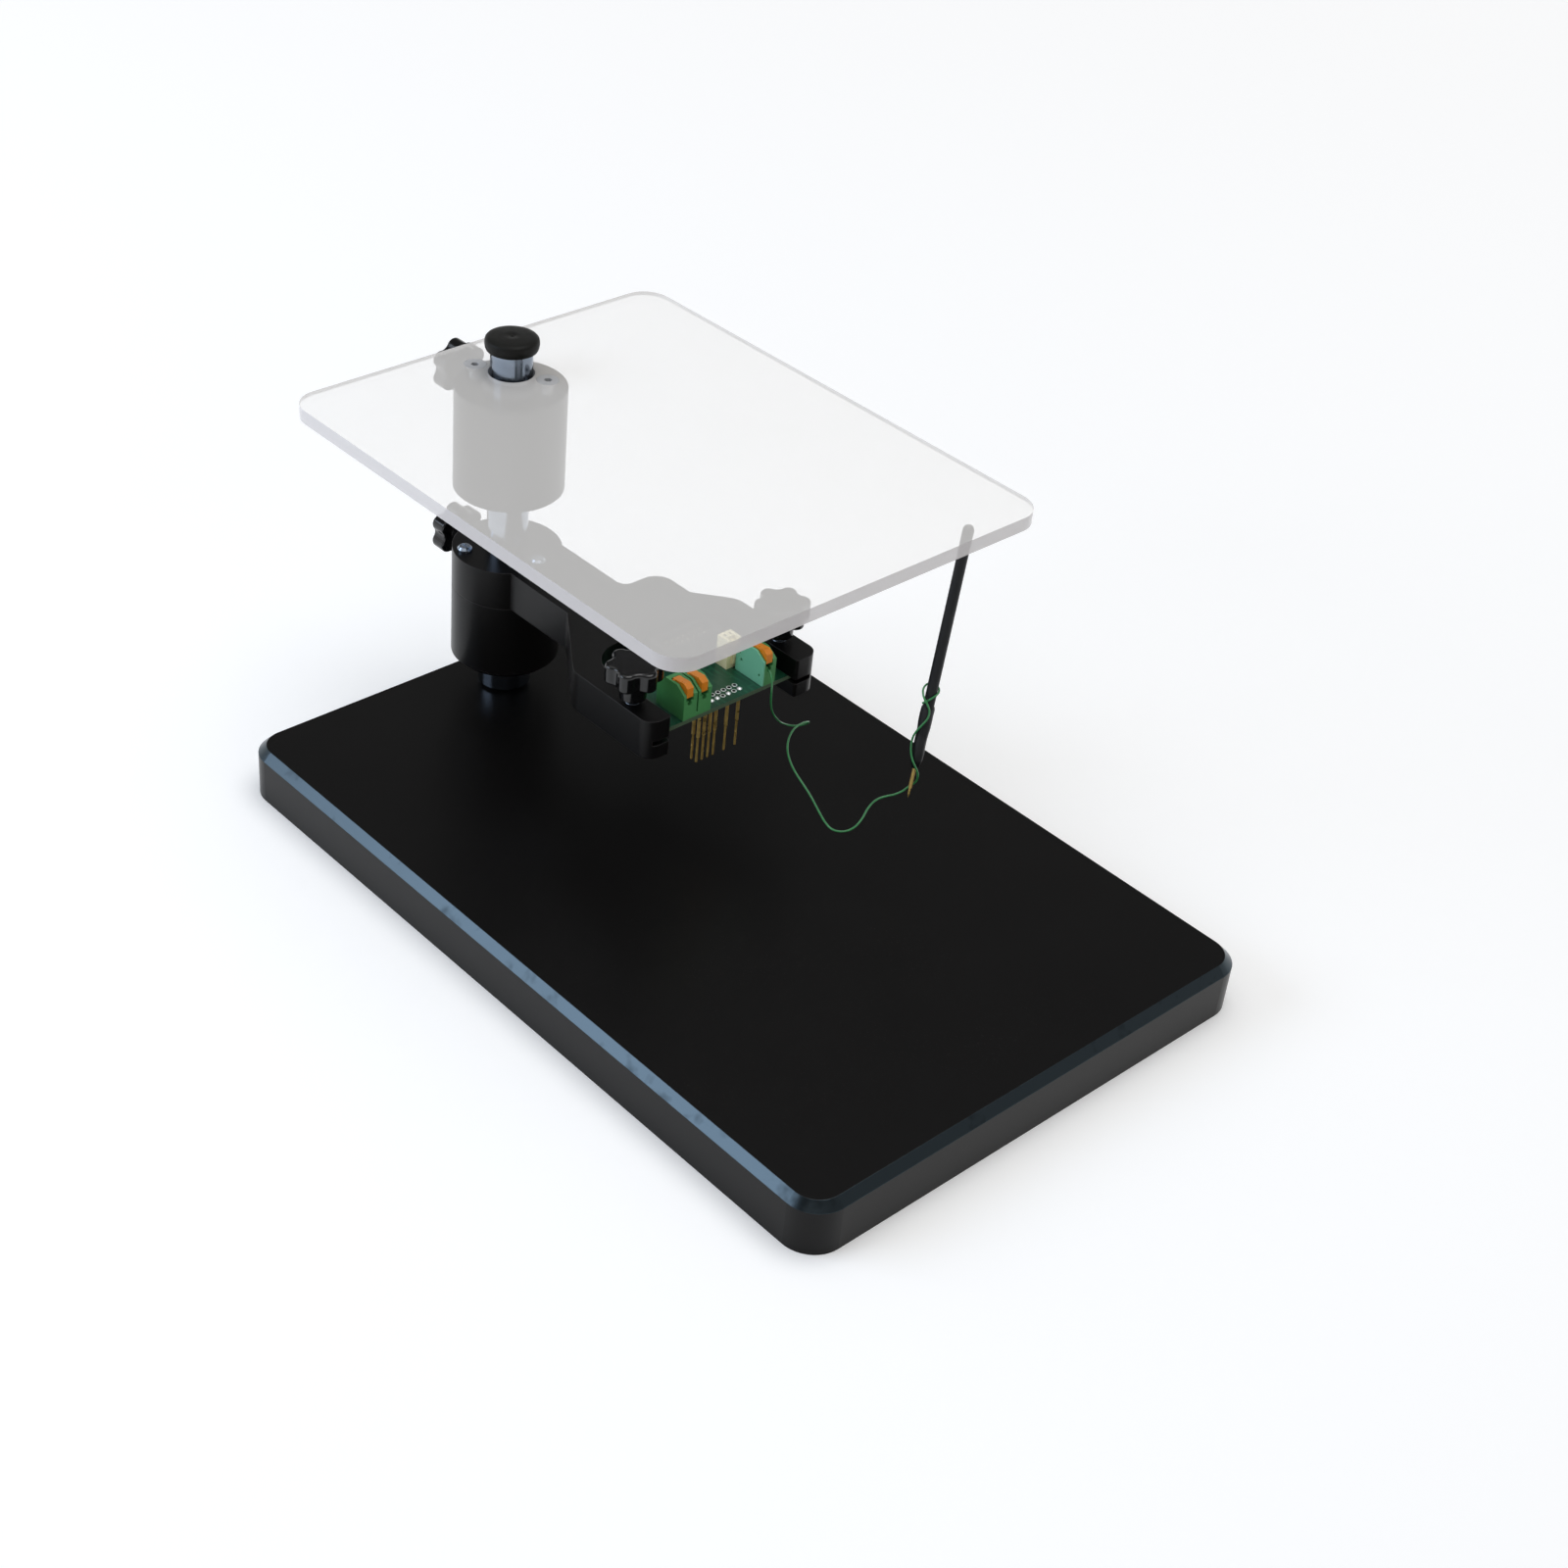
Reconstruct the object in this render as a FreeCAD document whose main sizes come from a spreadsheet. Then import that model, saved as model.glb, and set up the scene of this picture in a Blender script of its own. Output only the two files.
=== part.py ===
import FreeCAD, Part
import math
import os

import Sketcher
from FreeCAD import Rotation, Vector

# Bench frame that holds an adapter board and a probe over an opened control unit.
# Millimetres, +Z up, origin at the middle of the base plate's underside.
# X runs along the base plate's long side and the column stands near its -X end.

DIMENSIONS = dict(
    # Base plate
    base_length=300.0,
    base_width=200.0,
    base_thick=20.0,
    base_corner=12.0,
    base_chamfer=3.0,
    # Column and its foot
    column_inset=22.5,
    column_radius=7.5,
    column_top=159.0,
    column_seat=8.0,
    foot_radius=9.75,
    foot_height=8.5,
    foot_chamfer=1.2,
    base_screw_radius=3.0,
    base_screw_head=5.0,
    base_screw_head_height=5.0,
    base_screw_length=22.0,
    # Domed cap on the column
    cap_radius=9.6,
    cap_height=5.2,
    cap_bottom=156.2,
    cap_wall=0.9,
    # Round hubs and the plain bushes in them
    hub_radius=20.0,
    bush_radius=10.0,
    bush_lip=3.0,
    running_fit=0.05,
    collar_bottom=33.0,
    collar_height=30.0,
    plate_hub_bottom=102.5,
    plate_hub_height=40.0,
    # Arm
    arm_thick=15.0,
    bar_near=11.0,
    bar_far=16.5,
    bar_length_near=48.5,
    bar_length_far=46.2,
    boss_width=16.8,
    boss_reach=33.4,
    fork_reach=118.5,
    pocket_reach=73.5,
    pocket_near=23.0,
    pocket_far=34.0,
    pocket_corner=13.0,
    near_wing=9.5,
    far_wing=10.5,
    near_slope=1.39,
    far_slope=1.18,
    wing_corner=5.0,
    wing_edge=1.0,
    shoulder_corner=9.0,
    bar_corner_near=1.0,
    bar_corner_far=4.0,
    boss_corner_inner=7.0,
    boss_corner_outer=2.0,
    # Small screws under the arm's hub
    arm_screw_radius=1.5,
    arm_screw_head=2.7,
    arm_screw_head_height=1.7,
    arm_screw_length=26.0,
    arm_screw_circle=15.8,
    arm_screw_turn=7.0,
    # Star knobs and their studs
    stud_radius=2.5,
    stud_in_knob=9.0,
    knob_radius=10.0,
    knob_lobe=3.1,
    knob_valley=3.0,
    knob_thick=7.0,
    knob_neck_radius=4.6,
    knob_neck=6.5,
    knob_bore_extra=0.3,
    knob_gap=0.3,
    knob_round=1.2,
    arm_knob_height=70.5,
    hub_knob_drop=5.5,
    wing_knob_lift=2.0,
    wing_knob_setback=14.5,
    wing_knob_in=4.8,
    # Clear plate
    plate_length=200.0,
    plate_width=160.0,
    plate_thick=5.0,
    plate_corner=10.0,
    plate_behind=26.0,
    plate_near=75.0,
    plate_hole=8.2,
    plate_screw_radius=2.0,
    plate_screw_head=4.0,
    plate_screw_cone=2.2,
    plate_screw_length=18.0,
    plate_screw_circle=13.6,
    plate_screw_turn=30.0,
    # Adapter board
    board_thick=1.6,
    board_drop=8.0,
    board_setback=4.0,
    board_tongue=7.0,
    board_back_tongue=2.0,
    slot_clearance=0.1,
    # Push-in terminals
    pole_width=5.8,
    pole_gap=0.7,
    block_depth=14.0,
    block_height=12.5,
    block_front=9.6,
    block_back=8.0,
    double_block_near=9.0,
    single_block_far=6.2,
    wire_hole_radius=0.95,
    wire_hole_height=6.4,
    cover_thick=0.6,
    lever_width=2.8,
    lever_play=0.2,
    lever_offset=0.3,
    lever_pivot_radius=0.6,
    lever_pivot_back=7.2,
    lever_pivot_height=12.1,
    # Connectors on the board
    box_header_length=25.6,
    box_header_width=9.0,
    box_header_height=8.6,
    box_header_wall=1.1,
    box_header_back=31.0,
    box_header_along=36.5,
    pin_pitch=2.54,
    pin_square=0.64,
    pin_height=7.4,
    pin_tail=1.2,
    plug_length=5.6,
    plug_width=6.0,
    plug_height=11.5,
    plug_back=18.0,
    plug_along=45.0,
    # Spring contact pins
    contact_rows_back=3.8,
    contact_first=20.2,
    barrel_radius=0.65,
    barrel_below=11.4,
    barrel_bore_depth=10.5,
    plunger_radius=0.45,
    plunger_drop=22.4,
    plunger_inside=3.6,
    # Probe: its seat under the clear plate, measured in from the plate's edges, how far the
    # needle's point stands off from below the seat, and heights along its axis from the point
    probe_in_from_end=11.9,
    probe_in_from_far=23.3,
    probe_lean_along=6.6,
    probe_lean_back=19.0,
    probe_point_height=46.0,
    probe_radius=1.9,
    probe_seat_depth=0.9,
    rod_foot=30.0,
    sleeve_mouth=1.35,
    sleeve_mouth_height=11.3,
    sleeve_taper=3.2,
    sleeve_radius=2.15,
    sleeve_bulge=2.55,
    sleeve_top=34.8,
    needle_barrel_radius=0.65,
    needle_barrel_foot=3.8,
    needle_barrel_top=19.0,
    needle_radius=0.4,
    needle_inside=4.5,
    needle_travel_room=4.0,
    # Wire
    wire_diameter=0.7,
)

PARTS_FOLDER = "parts"
UP = Vector(0, 0, 1)
BACKWARD = Vector(-1, 0, 0)

# Columns of the contact grid that hold a pin, in the front row and in the back row
FRONT_ROW_COLUMNS = (0, 1, 2, 3, 5, 7)
BACK_ROW_COLUMNS = (0, 2)

# Route of the free wire to where it comes to the probe, counted from the mouth of the
# terminal's wire hole
LEAD_ROUTE = (
    (-3.0, 0.0, 0.0),
    (0.6, -0.1, -0.2),
    (3.4, -1.3, -2.4),
    (4.4, -2.2, -6.6),
    (3.8, -1.4, -11.8),
    (2.9, 0.8, -17.0),
    (1.6, 4.4, -21.6),
    (0.0, 8.2, -25.6),
    (-0.9, 12.0, -28.6),
    (0.2, 15.9, -30.2),
    (3.5, 18.3, -28.3),
    (6.1, 16.5, -25.1),
    (6.8, 12.2, -23.6),
    (8.1, 6.8, -23.0),
    (11.0, 1.6, -23.6),
    (15.2, -2.8, -24.4),
    (20.6, -6.2, -25.0),
    (26.0, -8.2, -26.0),
    (31.4, -9.2, -27.4),
    (36.4, -10.4, -28.8),
    (41.6, -12.2, -30.0),
    (47.0, -14.4, -30.6),
    (51.8, -15.4, -30.9),
    (55.0, -12.6, -31.0),
    (55.2, -7.8, -31.0),
    (53.2, -2.6, -31.0),
    (50.2, 2.6, -31.0),
    (48.3, 7.6, -30.9),
    (48.6, 11.4, -30.4),
    (50.5, 14.0, -29.7),
)

# Route of the wire that is held on the probe: height along the probe's axis from the
# needle's point, angle about the axis from the +X side, and distance from the axis
PROBE_WIRE_ROUTE = (
    (0.35, 228.0, 4.95),
    (1.6, 216.0, 2.3),
    (3.4, 152.0, 1.7),
    (5.6, 75.0, 1.7),
    (8.2, 28.0, 1.9),
    (10.8, 348.0, 2.1),
    (13.4, 305.0, 2.7),
    (16.2, 268.0, 3.0),
    (19.2, 238.0, 3.0),
    (22.4, 236.0, 3.1),
    (25.6, 262.0, 3.0),
    (28.6, 296.0, 3.1),
    (31.4, 322.0, 3.2),
    (34.2, 322.0, 3.3),
    (36.6, 298.0, 3.5),
    (38.4, 266.0, 3.5),
    (40.2, 228.0, 3.2),
    (41.6, 184.0, 2.8),
    (42.0, 138.0, 2.6),
    (41.6, 94.0, 2.5),
    (40.8, 50.0, 2.5),
    (39.8, 6.0, 2.5),
    (38.6, 322.0, 2.5),
    (36.8, 282.0, 2.5),
    (35.8, 254.0, 2.7),
)


class Size:
    """A number that carries the spreadsheet expression it was worked out from."""

    def __init__(self, value, text):
        self.value = float(value)
        self.text = text

    def __add__(self, other):
        other = size_of(other)
        return Size(self.value + other.value, f"({self.text} + {other.text})")

    def __sub__(self, other):
        other = size_of(other)
        return Size(self.value - other.value, f"({self.text} - {other.text})")

    def __rsub__(self, other):
        return size_of(other) - self

    def __mul__(self, other):
        other = size_of(other)
        return Size(self.value * other.value, f"({self.text} * {other.text})")

    def __truediv__(self, other):
        other = size_of(other)
        return Size(self.value / other.value, f"({self.text} / {other.text})")

    def __neg__(self):
        return Size(-self.value, f"(0 - {self.text})")

    def __float__(self):
        return self.value

    __radd__ = __add__
    __rmul__ = __mul__


def size_of(amount):
    return amount if isinstance(amount, Size) else Size(amount, f"({float(amount):.6f})")


def fill_sheet(doc):
    """Write the driving dimensions into the spreadsheet and return them as sizes."""
    sheet = doc.addObject("Spreadsheet::Sheet", "Sizes")
    for row, (name, value) in enumerate(DIMENSIONS.items(), start=1):
        sheet.set(f"A{row}", name)
        sheet.set(f"B{row}", str(value))
        sheet.setAlias(f"B{row}", name)
    doc.recompute()
    return {name: Size(value, f"Sizes.{name}") for name, value in DIMENSIONS.items()}


os.makedirs(PARTS_FOLDER, exist_ok=True)
doc = FreeCAD.newDocument("ecu_positioning_frame")
S = fill_sheet(doc)


# Places that several pieces share

column_x = S["column_inset"] - S["base_length"] / 2
base_top = S["base_thick"]
column_foot = base_top - S["column_seat"]
collar_top = S["collar_bottom"] + S["collar_height"]
arm_bottom = collar_top
arm_top = arm_bottom + S["arm_thick"]
plate_bottom = S["plate_hub_bottom"] + S["plate_hub_height"]
plate_top = plate_bottom + S["plate_thick"]
fork_front = column_x + S["fork_reach"]
pocket_back = column_x + S["pocket_reach"]
board_top = arm_top - S["board_drop"]
board_bottom = board_top - S["board_thick"]
board_front = fork_front - S["board_setback"]
board_back = pocket_back - S["board_back_tongue"]
board_near = -(S["pocket_near"] + S["board_tongue"])
board_far = S["pocket_far"] + S["board_tongue"]
wing_knob_x = fork_front - S["wing_knob_setback"]
near_knob_y = -(S["pocket_near"] + S["wing_knob_in"])
far_knob_y = S["pocket_far"] + S["wing_knob_in"]
hub_knob_height = plate_bottom - S["hub_knob_drop"]
plate_left = column_x - S["plate_behind"]
plate_right = plate_left + S["plate_length"]
plate_far = S["plate_width"] - S["plate_near"]
seat_x = plate_right - S["probe_in_from_end"]
seat_y = plate_far - S["probe_in_from_far"]
needle_point = Vector(float(seat_x + S["probe_lean_along"]),
                      float(seat_y - S["probe_lean_back"]), float(S["probe_point_height"]))


# Helpers that make bound objects

def bind(item, name, amount):
    """Tie one property of an object to the spreadsheet."""
    item.setExpression(name, size_of(amount).text)


def place(item, at, turn=None):
    """Put an object at a point whose coordinates stay tied to the spreadsheet."""
    at = [size_of(amount) for amount in at]
    spot = Vector(*(amount.value for amount in at))
    item.Placement = FreeCAD.Placement(spot, turn or Rotation())
    for axis, amount in zip("xyz", at):
        bind(item, f"Placement.Base.{axis}", amount)
    return item


def facing(direction):
    """The turn that brings +Z onto a direction."""
    return Rotation(UP, Vector(direction))


def cylinder(name, radius, height, at, turn=None):
    item = doc.addObject("Part::Cylinder", name)
    bind(item, "Radius", radius)
    bind(item, "Height", height)
    return place(item, at, turn)


def cone(name, low_radius, high_radius, height, at, turn=None):
    item = doc.addObject("Part::Cone", name)
    bind(item, "Radius1", low_radius)
    bind(item, "Radius2", high_radius)
    bind(item, "Height", height)
    return place(item, at, turn)


def sphere(name, radius, at):
    item = doc.addObject("Part::Sphere", name)
    bind(item, "Radius", radius)
    return place(item, at)


def box(name, low, high):
    """A block between two corner points."""
    low = [size_of(amount) for amount in low]
    high = [size_of(amount) for amount in high]
    item = doc.addObject("Part::Box", name)
    for side, bottom, top in zip(("Length", "Width", "Height"), low, high):
        bind(item, side, top - bottom)
    return place(item, low)


def hexagon(name, radius, height, at, turn=None):
    item = doc.addObject("Part::Prism", name)
    item.Polygon = 6
    bind(item, "Circumradius", radius)
    bind(item, "Height", height)
    return place(item, at, turn)


def fuse(name, items):
    item = doc.addObject("Part::MultiFuse", name)
    item.Shapes = items
    item.Refine = True
    return item


def cut(name, base, tools):
    """Take one or more tools out of a base."""
    tools = list(tools)
    item = doc.addObject("Part::Cut", name)
    item.Base = base
    item.Tool = tools[0] if len(tools) == 1 else fuse(f"{name}_tools", tools)
    item.Refine = True
    return item


def group(name, items):
    """Several separate solids of one kind in one node."""
    item = doc.addObject("Part::Compound", name)
    item.Links = items
    return item


def new_sketch(body, plane, name):
    """A sketch on one of its own body's origin planes."""
    sketch = body.newObject("Sketcher::SketchObject", name)
    support = [item for item in body.Origin.OriginFeatures if item.Role == plane][0]
    sketch.AttachmentSupport = [(support, "")]
    sketch.MapMode = "FlatFace"
    return sketch


def pin_vertex(sketch, line, coordinate, kind, axis):
    """Tie one coordinate of a line's first point to the spreadsheet."""
    if coordinate.value == 0:
        sketch.addConstraint(Sketcher.Constraint("PointOnObject", line, 1, axis))
        return
    if coordinate.value > 0:
        constraint = Sketcher.Constraint(kind, -1, 1, line, 1, coordinate.value)
    else:
        coordinate = -coordinate
        constraint = Sketcher.Constraint(kind, line, 1, -1, 1, coordinate.value)
    index = sketch.addConstraint(constraint)
    sketch.setExpression(f"Constraints[{index}]", coordinate.text)


def polygon(sketch, points):
    """A closed outline of straight lines with every corner tied to the spreadsheet."""
    points = [(size_of(across), size_of(upward)) for across, upward in points]
    corners = [Vector(across.value, upward.value, 0) for across, upward in points]
    following = corners[1:] + corners[:1]
    lines = [Part.LineSegment(first, last) for first, last in zip(corners, following)]
    sketch.addGeometry(lines, False)
    for line in range(len(lines)):
        after = (line + 1) % len(lines)
        sketch.addConstraint(Sketcher.Constraint("Coincident", line, 2, after, 1))
    for line, (across, upward) in enumerate(points):
        pin_vertex(sketch, line, across, "DistanceX", -2)
        pin_vertex(sketch, line, upward, "DistanceY", -1)


def revolved(name, points, at, turn=None):
    """A body turned about its own Z axis from a profile of radius and height."""
    body = doc.addObject("PartDesign::Body", name)
    sketch = new_sketch(body, "XZ_Plane", f"{name}_profile")
    polygon(sketch, points)
    turned = body.newObject("PartDesign::Revolution", f"{name}_turned")
    turned.Profile = sketch
    turned.ReferenceAxis = (sketch, ["V_Axis"])
    turned.Angle = 360
    sketch.Visibility = False
    return place(body, at, turn)


def slab(name, points, width, at):
    """A body with a profile in the XZ plane, as wide each side of its middle plane."""
    body = doc.addObject("PartDesign::Body", name)
    sketch = new_sketch(body, "XZ_Plane", f"{name}_profile")
    polygon(sketch, points)
    pad = body.newObject("PartDesign::Pad", f"{name}_pad")
    pad.Profile = sketch
    pad.Midplane = True
    bind(pad, "Length", width)
    return place(body, at)


def rounded_outline(corners):
    """Lines and arcs round an outline, from corners of (x, y, rounding radius)."""
    points = [Vector(float(x), float(y), 0) for x, y, _ in corners]
    radii = [float(radius) for _, _, radius in corners]
    count = len(points)
    entries, exits, arcs = [], [], []
    for index, point in enumerate(points):
        back = (points[index - 1] - point).normalize()
        ahead = (points[(index + 1) % count] - point).normalize()
        half = back.getAngle(ahead) / 2
        reach = radii[index] / math.tan(half)
        entries.append(point + back * reach)
        exits.append(point + ahead * reach)
        if radii[index] == 0:
            arcs.append(None)
            continue
        bisector = (back + ahead).normalize()
        middle = point + bisector * (radii[index] / math.sin(half) - radii[index])
        arcs.append(Part.Arc(entries[index], middle, exits[index]))
    outline = []
    for index in range(count):
        if arcs[index]:
            outline.append(arcs[index])
        ahead = entries[(index + 1) % count]
        outline.append(Part.LineSegment(exits[index], ahead))
    return outline


def star_outline(outer, lobe, valley, lobes):
    """Arcs round a star knob: lobes that run smoothly into the valleys between them."""
    lobe_centre = outer - lobe
    half_step = math.pi / lobes
    reach = lobe + valley
    across = lobe_centre * math.cos(half_step)
    valley_centre = across + math.sqrt(reach**2 - (lobe_centre * math.sin(half_step)) ** 2)

    def polar(radius, angle):
        return Vector(radius * math.cos(angle), radius * math.sin(angle), 0)

    outline = []
    for index in range(lobes):
        angle = 2 * half_step * index
        middle = polar(lobe_centre, angle)
        before = polar(valley_centre, angle - half_step)
        after = polar(valley_centre, angle + half_step)
        following = polar(lobe_centre, angle + 2 * half_step)
        start = middle + (before - middle) * (lobe / reach)
        finish = middle + (after - middle) * (lobe / reach)
        next_start = following + (after - following) * (lobe / reach)
        outline.append(Part.Arc(start, polar(outer, angle), finish))
        dip = polar(valley_centre - valley, angle + half_step)
        outline.append(Part.Arc(finish, dip, next_start))
    return outline


def padded(name, outline, thickness, at, turn=None):
    """A body of even thickness from an outline of lines and arcs."""
    body = doc.addObject("PartDesign::Body", name)
    sketch = new_sketch(body, "XY_Plane", f"{name}_outline")
    sketch.addGeometry(outline, False)
    pad = body.newObject("PartDesign::Pad", f"{name}_pad")
    pad.Profile = sketch
    bind(pad, "Length", thickness)
    return place(body, at, turn)


def edges_at(feature, height):
    """Names of the edges that lie wholly at one height of a feature."""
    names = []
    for index, edge in enumerate(feature.Shape.Edges, start=1):
        extent = edge.BoundBox
        if abs(extent.ZMin - height) < 1e-4 and abs(extent.ZMax - height) < 1e-4:
            names.append(f"Edge{index}")
    return names


def dress(body, kind, height, amount):
    """Round or chamfer the edges of a body's last feature that lie at one height."""
    doc.recompute()
    base = body.Tip
    names = edges_at(base, float(height))
    feature = body.newObject(f"PartDesign::{kind}", f"{body.Name}_{kind.lower()}")
    feature.Base = (base, names)
    bind(feature, "Radius" if kind == "Fillet" else "Size", amount)
    doc.recompute()
    return feature


def around_column(radius, degrees, height):
    """A point at a radius and an angle from the column's axis."""
    angle = math.radians(float(degrees))
    return (column_x + radius * math.cos(angle), radius * math.sin(angle), height)


NODES = []


def node(item, label):
    """Name a finished piece. The label is also its file's name."""
    item.Label = label
    NODES.append(item)
    return item


# Base plate with the seat of the column and the counterbore of its screw

def make_base_plate():
    half_length = S["base_length"] / 2
    half_width = S["base_width"] / 2
    rounding = S["base_corner"]
    outline = rounded_outline([
        (-half_length, -half_width, rounding),
        (half_length, -half_width, rounding),
        (half_length, half_width, rounding),
        (-half_length, half_width, rounding),
    ])
    body = padded("base_body", outline, S["base_thick"], (0, 0, 0))
    dress(body, "Chamfer", S["base_thick"], S["base_chamfer"])
    seat = cylinder("base_seat", S["column_radius"], S["column_seat"], (column_x, 0, column_foot))
    counterbore_height = base_screw_top()
    counterbore = cylinder("base_counterbore", S["base_screw_head"] + 0.5, counterbore_height,
                           (column_x, 0, 0))
    clearance = cylinder("base_clearance", S["base_screw_radius"] + 0.3, S["base_thick"],
                         (column_x, 0, 0))
    return node(cut("base_cut", body, [seat, counterbore, clearance]), "base_plate")


def base_screw_top():
    """Height of the face that the base screw's head bears on."""
    return S["base_screw_head_height"] + 1.0


def make_column():
    length = S["column_top"] - column_foot
    rod = cylinder("column_rod", S["column_radius"], length, (column_x, 0, column_foot))
    tapped = cylinder("column_tapped", S["base_screw_radius"],
                      S["base_screw_length"] - (column_foot - base_screw_top()) + 2.0,
                      (column_x, 0, column_foot))
    node(cut("column_cut", rod, [tapped]), "column")
    top = base_screw_top()
    head_bottom = top - S["base_screw_head_height"]
    screw = revolved("base_screw", [
        (0, 0),
        (S["base_screw_head"], 0),
        (S["base_screw_head"], S["base_screw_head_height"]),
        (S["base_screw_radius"], S["base_screw_head_height"]),
        (S["base_screw_radius"], S["base_screw_head_height"] + S["base_screw_length"]),
        (0, S["base_screw_head_height"] + S["base_screw_length"]),
    ], (column_x, 0, head_bottom))
    socket = hexagon("base_screw_socket", S["base_screw_head"] * 0.58,
                     S["base_screw_head_height"] / 2, (column_x, 0, head_bottom))
    node(cut("base_screw_cut", screw, [socket]), "column_screw")


def make_foot_ring():
    chamfer = S["foot_chamfer"]
    outer = S["foot_radius"]
    height = S["foot_height"]
    ring = revolved("foot_ring_body", [
        (S["column_radius"], 0),
        (outer - chamfer, 0),
        (outer, chamfer),
        (outer, height - chamfer / 2),
        (outer - chamfer / 2, height),
        (S["column_radius"], height),
    ], (column_x, 0, base_top))
    return node(ring, "foot_ring")


def make_column_cap():
    outer = S["cap_radius"]
    height = S["cap_height"]
    inner = S["column_radius"]
    cap = revolved("cap_body", [
        (0, S["column_top"] - S["cap_bottom"]),
        (inner, S["column_top"] - S["cap_bottom"]),
        (inner, 0),
        (inner + S["cap_wall"], 0),
        (outer, height * 0.4),
        (outer, height * 0.72),
        (outer - 0.5, height * 0.88),
        (outer - 1.6, height * 0.97),
        (0, height),
    ], (column_x, 0, S["cap_bottom"]))
    return node(cap, "column_cap")


# Arm, its collar, bush and screws

def screw_spots():
    """Angles of the three screws on their circle."""
    return [S["arm_screw_turn"].value + 120 * index for index in range(3)]


def make_arm_collar():
    body = revolved("collar_body", [
        (S["column_radius"] + 0.2, 0),
        (S["hub_radius"] - 1.6, 0),
        (S["hub_radius"], 1.6),
        (S["hub_radius"], S["collar_height"]),
        (S["bush_radius"] + S["running_fit"], S["collar_height"]),
        (S["bush_radius"] + S["running_fit"], S["bush_lip"]),
        (S["column_radius"] + 0.2, S["bush_lip"]),
    ], (column_x, 0, S["collar_bottom"]))
    into_collar = S["arm_screw_length"] - S["arm_thick"]
    holes = []
    for index, angle in enumerate(screw_spots()):
        spot = around_column(S["arm_screw_circle"], angle, collar_top - into_collar - 1.0)
        holes.append(cylinder(f"collar_hole_{index}", S["arm_screw_radius"], into_collar + 1.0, spot))
    return node(cut("collar_cut", body, holes), "arm_collar")


def make_bush(name, label, bottom, height):
    """A plain bush that fills the space between the lips of a hub."""
    play = S["running_fit"]
    bush = revolved(name, [
        (S["column_radius"] + play, 0),
        (S["bush_radius"], 0),
        (S["bush_radius"], height),
        (S["column_radius"] + play, height),
    ], (column_x, 0, bottom))
    return node(bush, label)


def arm_outline():
    """The bar and the forked head, from the column's axis to the wings' front ends."""
    near_side = -(S["pocket_near"] + S["near_wing"])
    far_side = S["pocket_far"] + S["far_wing"]
    bar_end_near = column_x + S["bar_length_near"]
    bar_end_far = column_x + S["bar_length_far"]
    boss_front = bar_end_far + S["boss_width"]
    near_rise = (-near_side - S["bar_near"]) * S["near_slope"]
    far_rise = (far_side - S["boss_reach"]) * S["far_slope"]
    corner = S["wing_corner"]
    pocket_corner = S["pocket_corner"]
    return rounded_outline([
        (column_x, -S["bar_near"], 0),
        (bar_end_near, -S["bar_near"], S["bar_corner_near"]),
        (bar_end_near + near_rise, near_side, S["shoulder_corner"]),
        (fork_front, near_side, corner),
        (fork_front, -S["pocket_near"], S["wing_edge"]),
        (pocket_back, -S["pocket_near"], pocket_corner),
        (pocket_back, S["pocket_far"], pocket_corner),
        (fork_front, S["pocket_far"], S["wing_edge"]),
        (fork_front, far_side, corner),
        (boss_front + far_rise, far_side, S["shoulder_corner"]),
        (boss_front, S["boss_reach"], S["boss_corner_outer"]),
        (bar_end_far, S["boss_reach"], S["boss_corner_inner"]),
        (bar_end_far, S["bar_far"], S["bar_corner_far"]),
        (column_x, S["bar_far"], 0),
    ])


def make_arm():
    plate = padded("arm_plate", arm_outline(), S["arm_thick"], (0, 0, arm_bottom))
    hub = cylinder("arm_hub", S["hub_radius"], S["arm_thick"], (column_x, 0, arm_bottom))
    blank = fuse("arm_blank", [plate, hub])
    bush_hole = cylinder("arm_bush_hole", S["bush_radius"] + S["running_fit"],
                         S["arm_thick"] - S["bush_lip"], (column_x, 0, arm_bottom))
    column_hole = cylinder("arm_column_hole", S["column_radius"] + 0.2, S["arm_thick"],
                           (column_x, 0, arm_bottom))
    play = S["slot_clearance"]
    slot = box("arm_slot",
               (board_back - play, board_near - play, board_bottom - play),
               (fork_front + 1.0, board_far + play, board_top + play))
    tools = [bush_hole, column_hole, slot]
    stud_hole = S["stud_radius"] + S["running_fit"]
    tools.append(cylinder("arm_stud_hole", stud_hole, S["hub_radius"],
                          (column_x, 0, S["arm_knob_height"]), facing(BACKWARD)))
    for name, side in (("near", near_knob_y), ("far", far_knob_y)):
        tools.append(cylinder(f"{name}_wing_hole", stud_hole, arm_top - board_bottom,
                              (wing_knob_x, side, board_bottom)))
    for index, angle in enumerate(screw_spots()):
        spot = around_column(S["arm_screw_circle"], angle, arm_bottom)
        tools.append(cylinder(f"arm_screw_hole_{index}", S["arm_screw_radius"], S["arm_thick"], spot))
    return node(cut("arm_cut", blank, tools), "arm")


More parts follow.
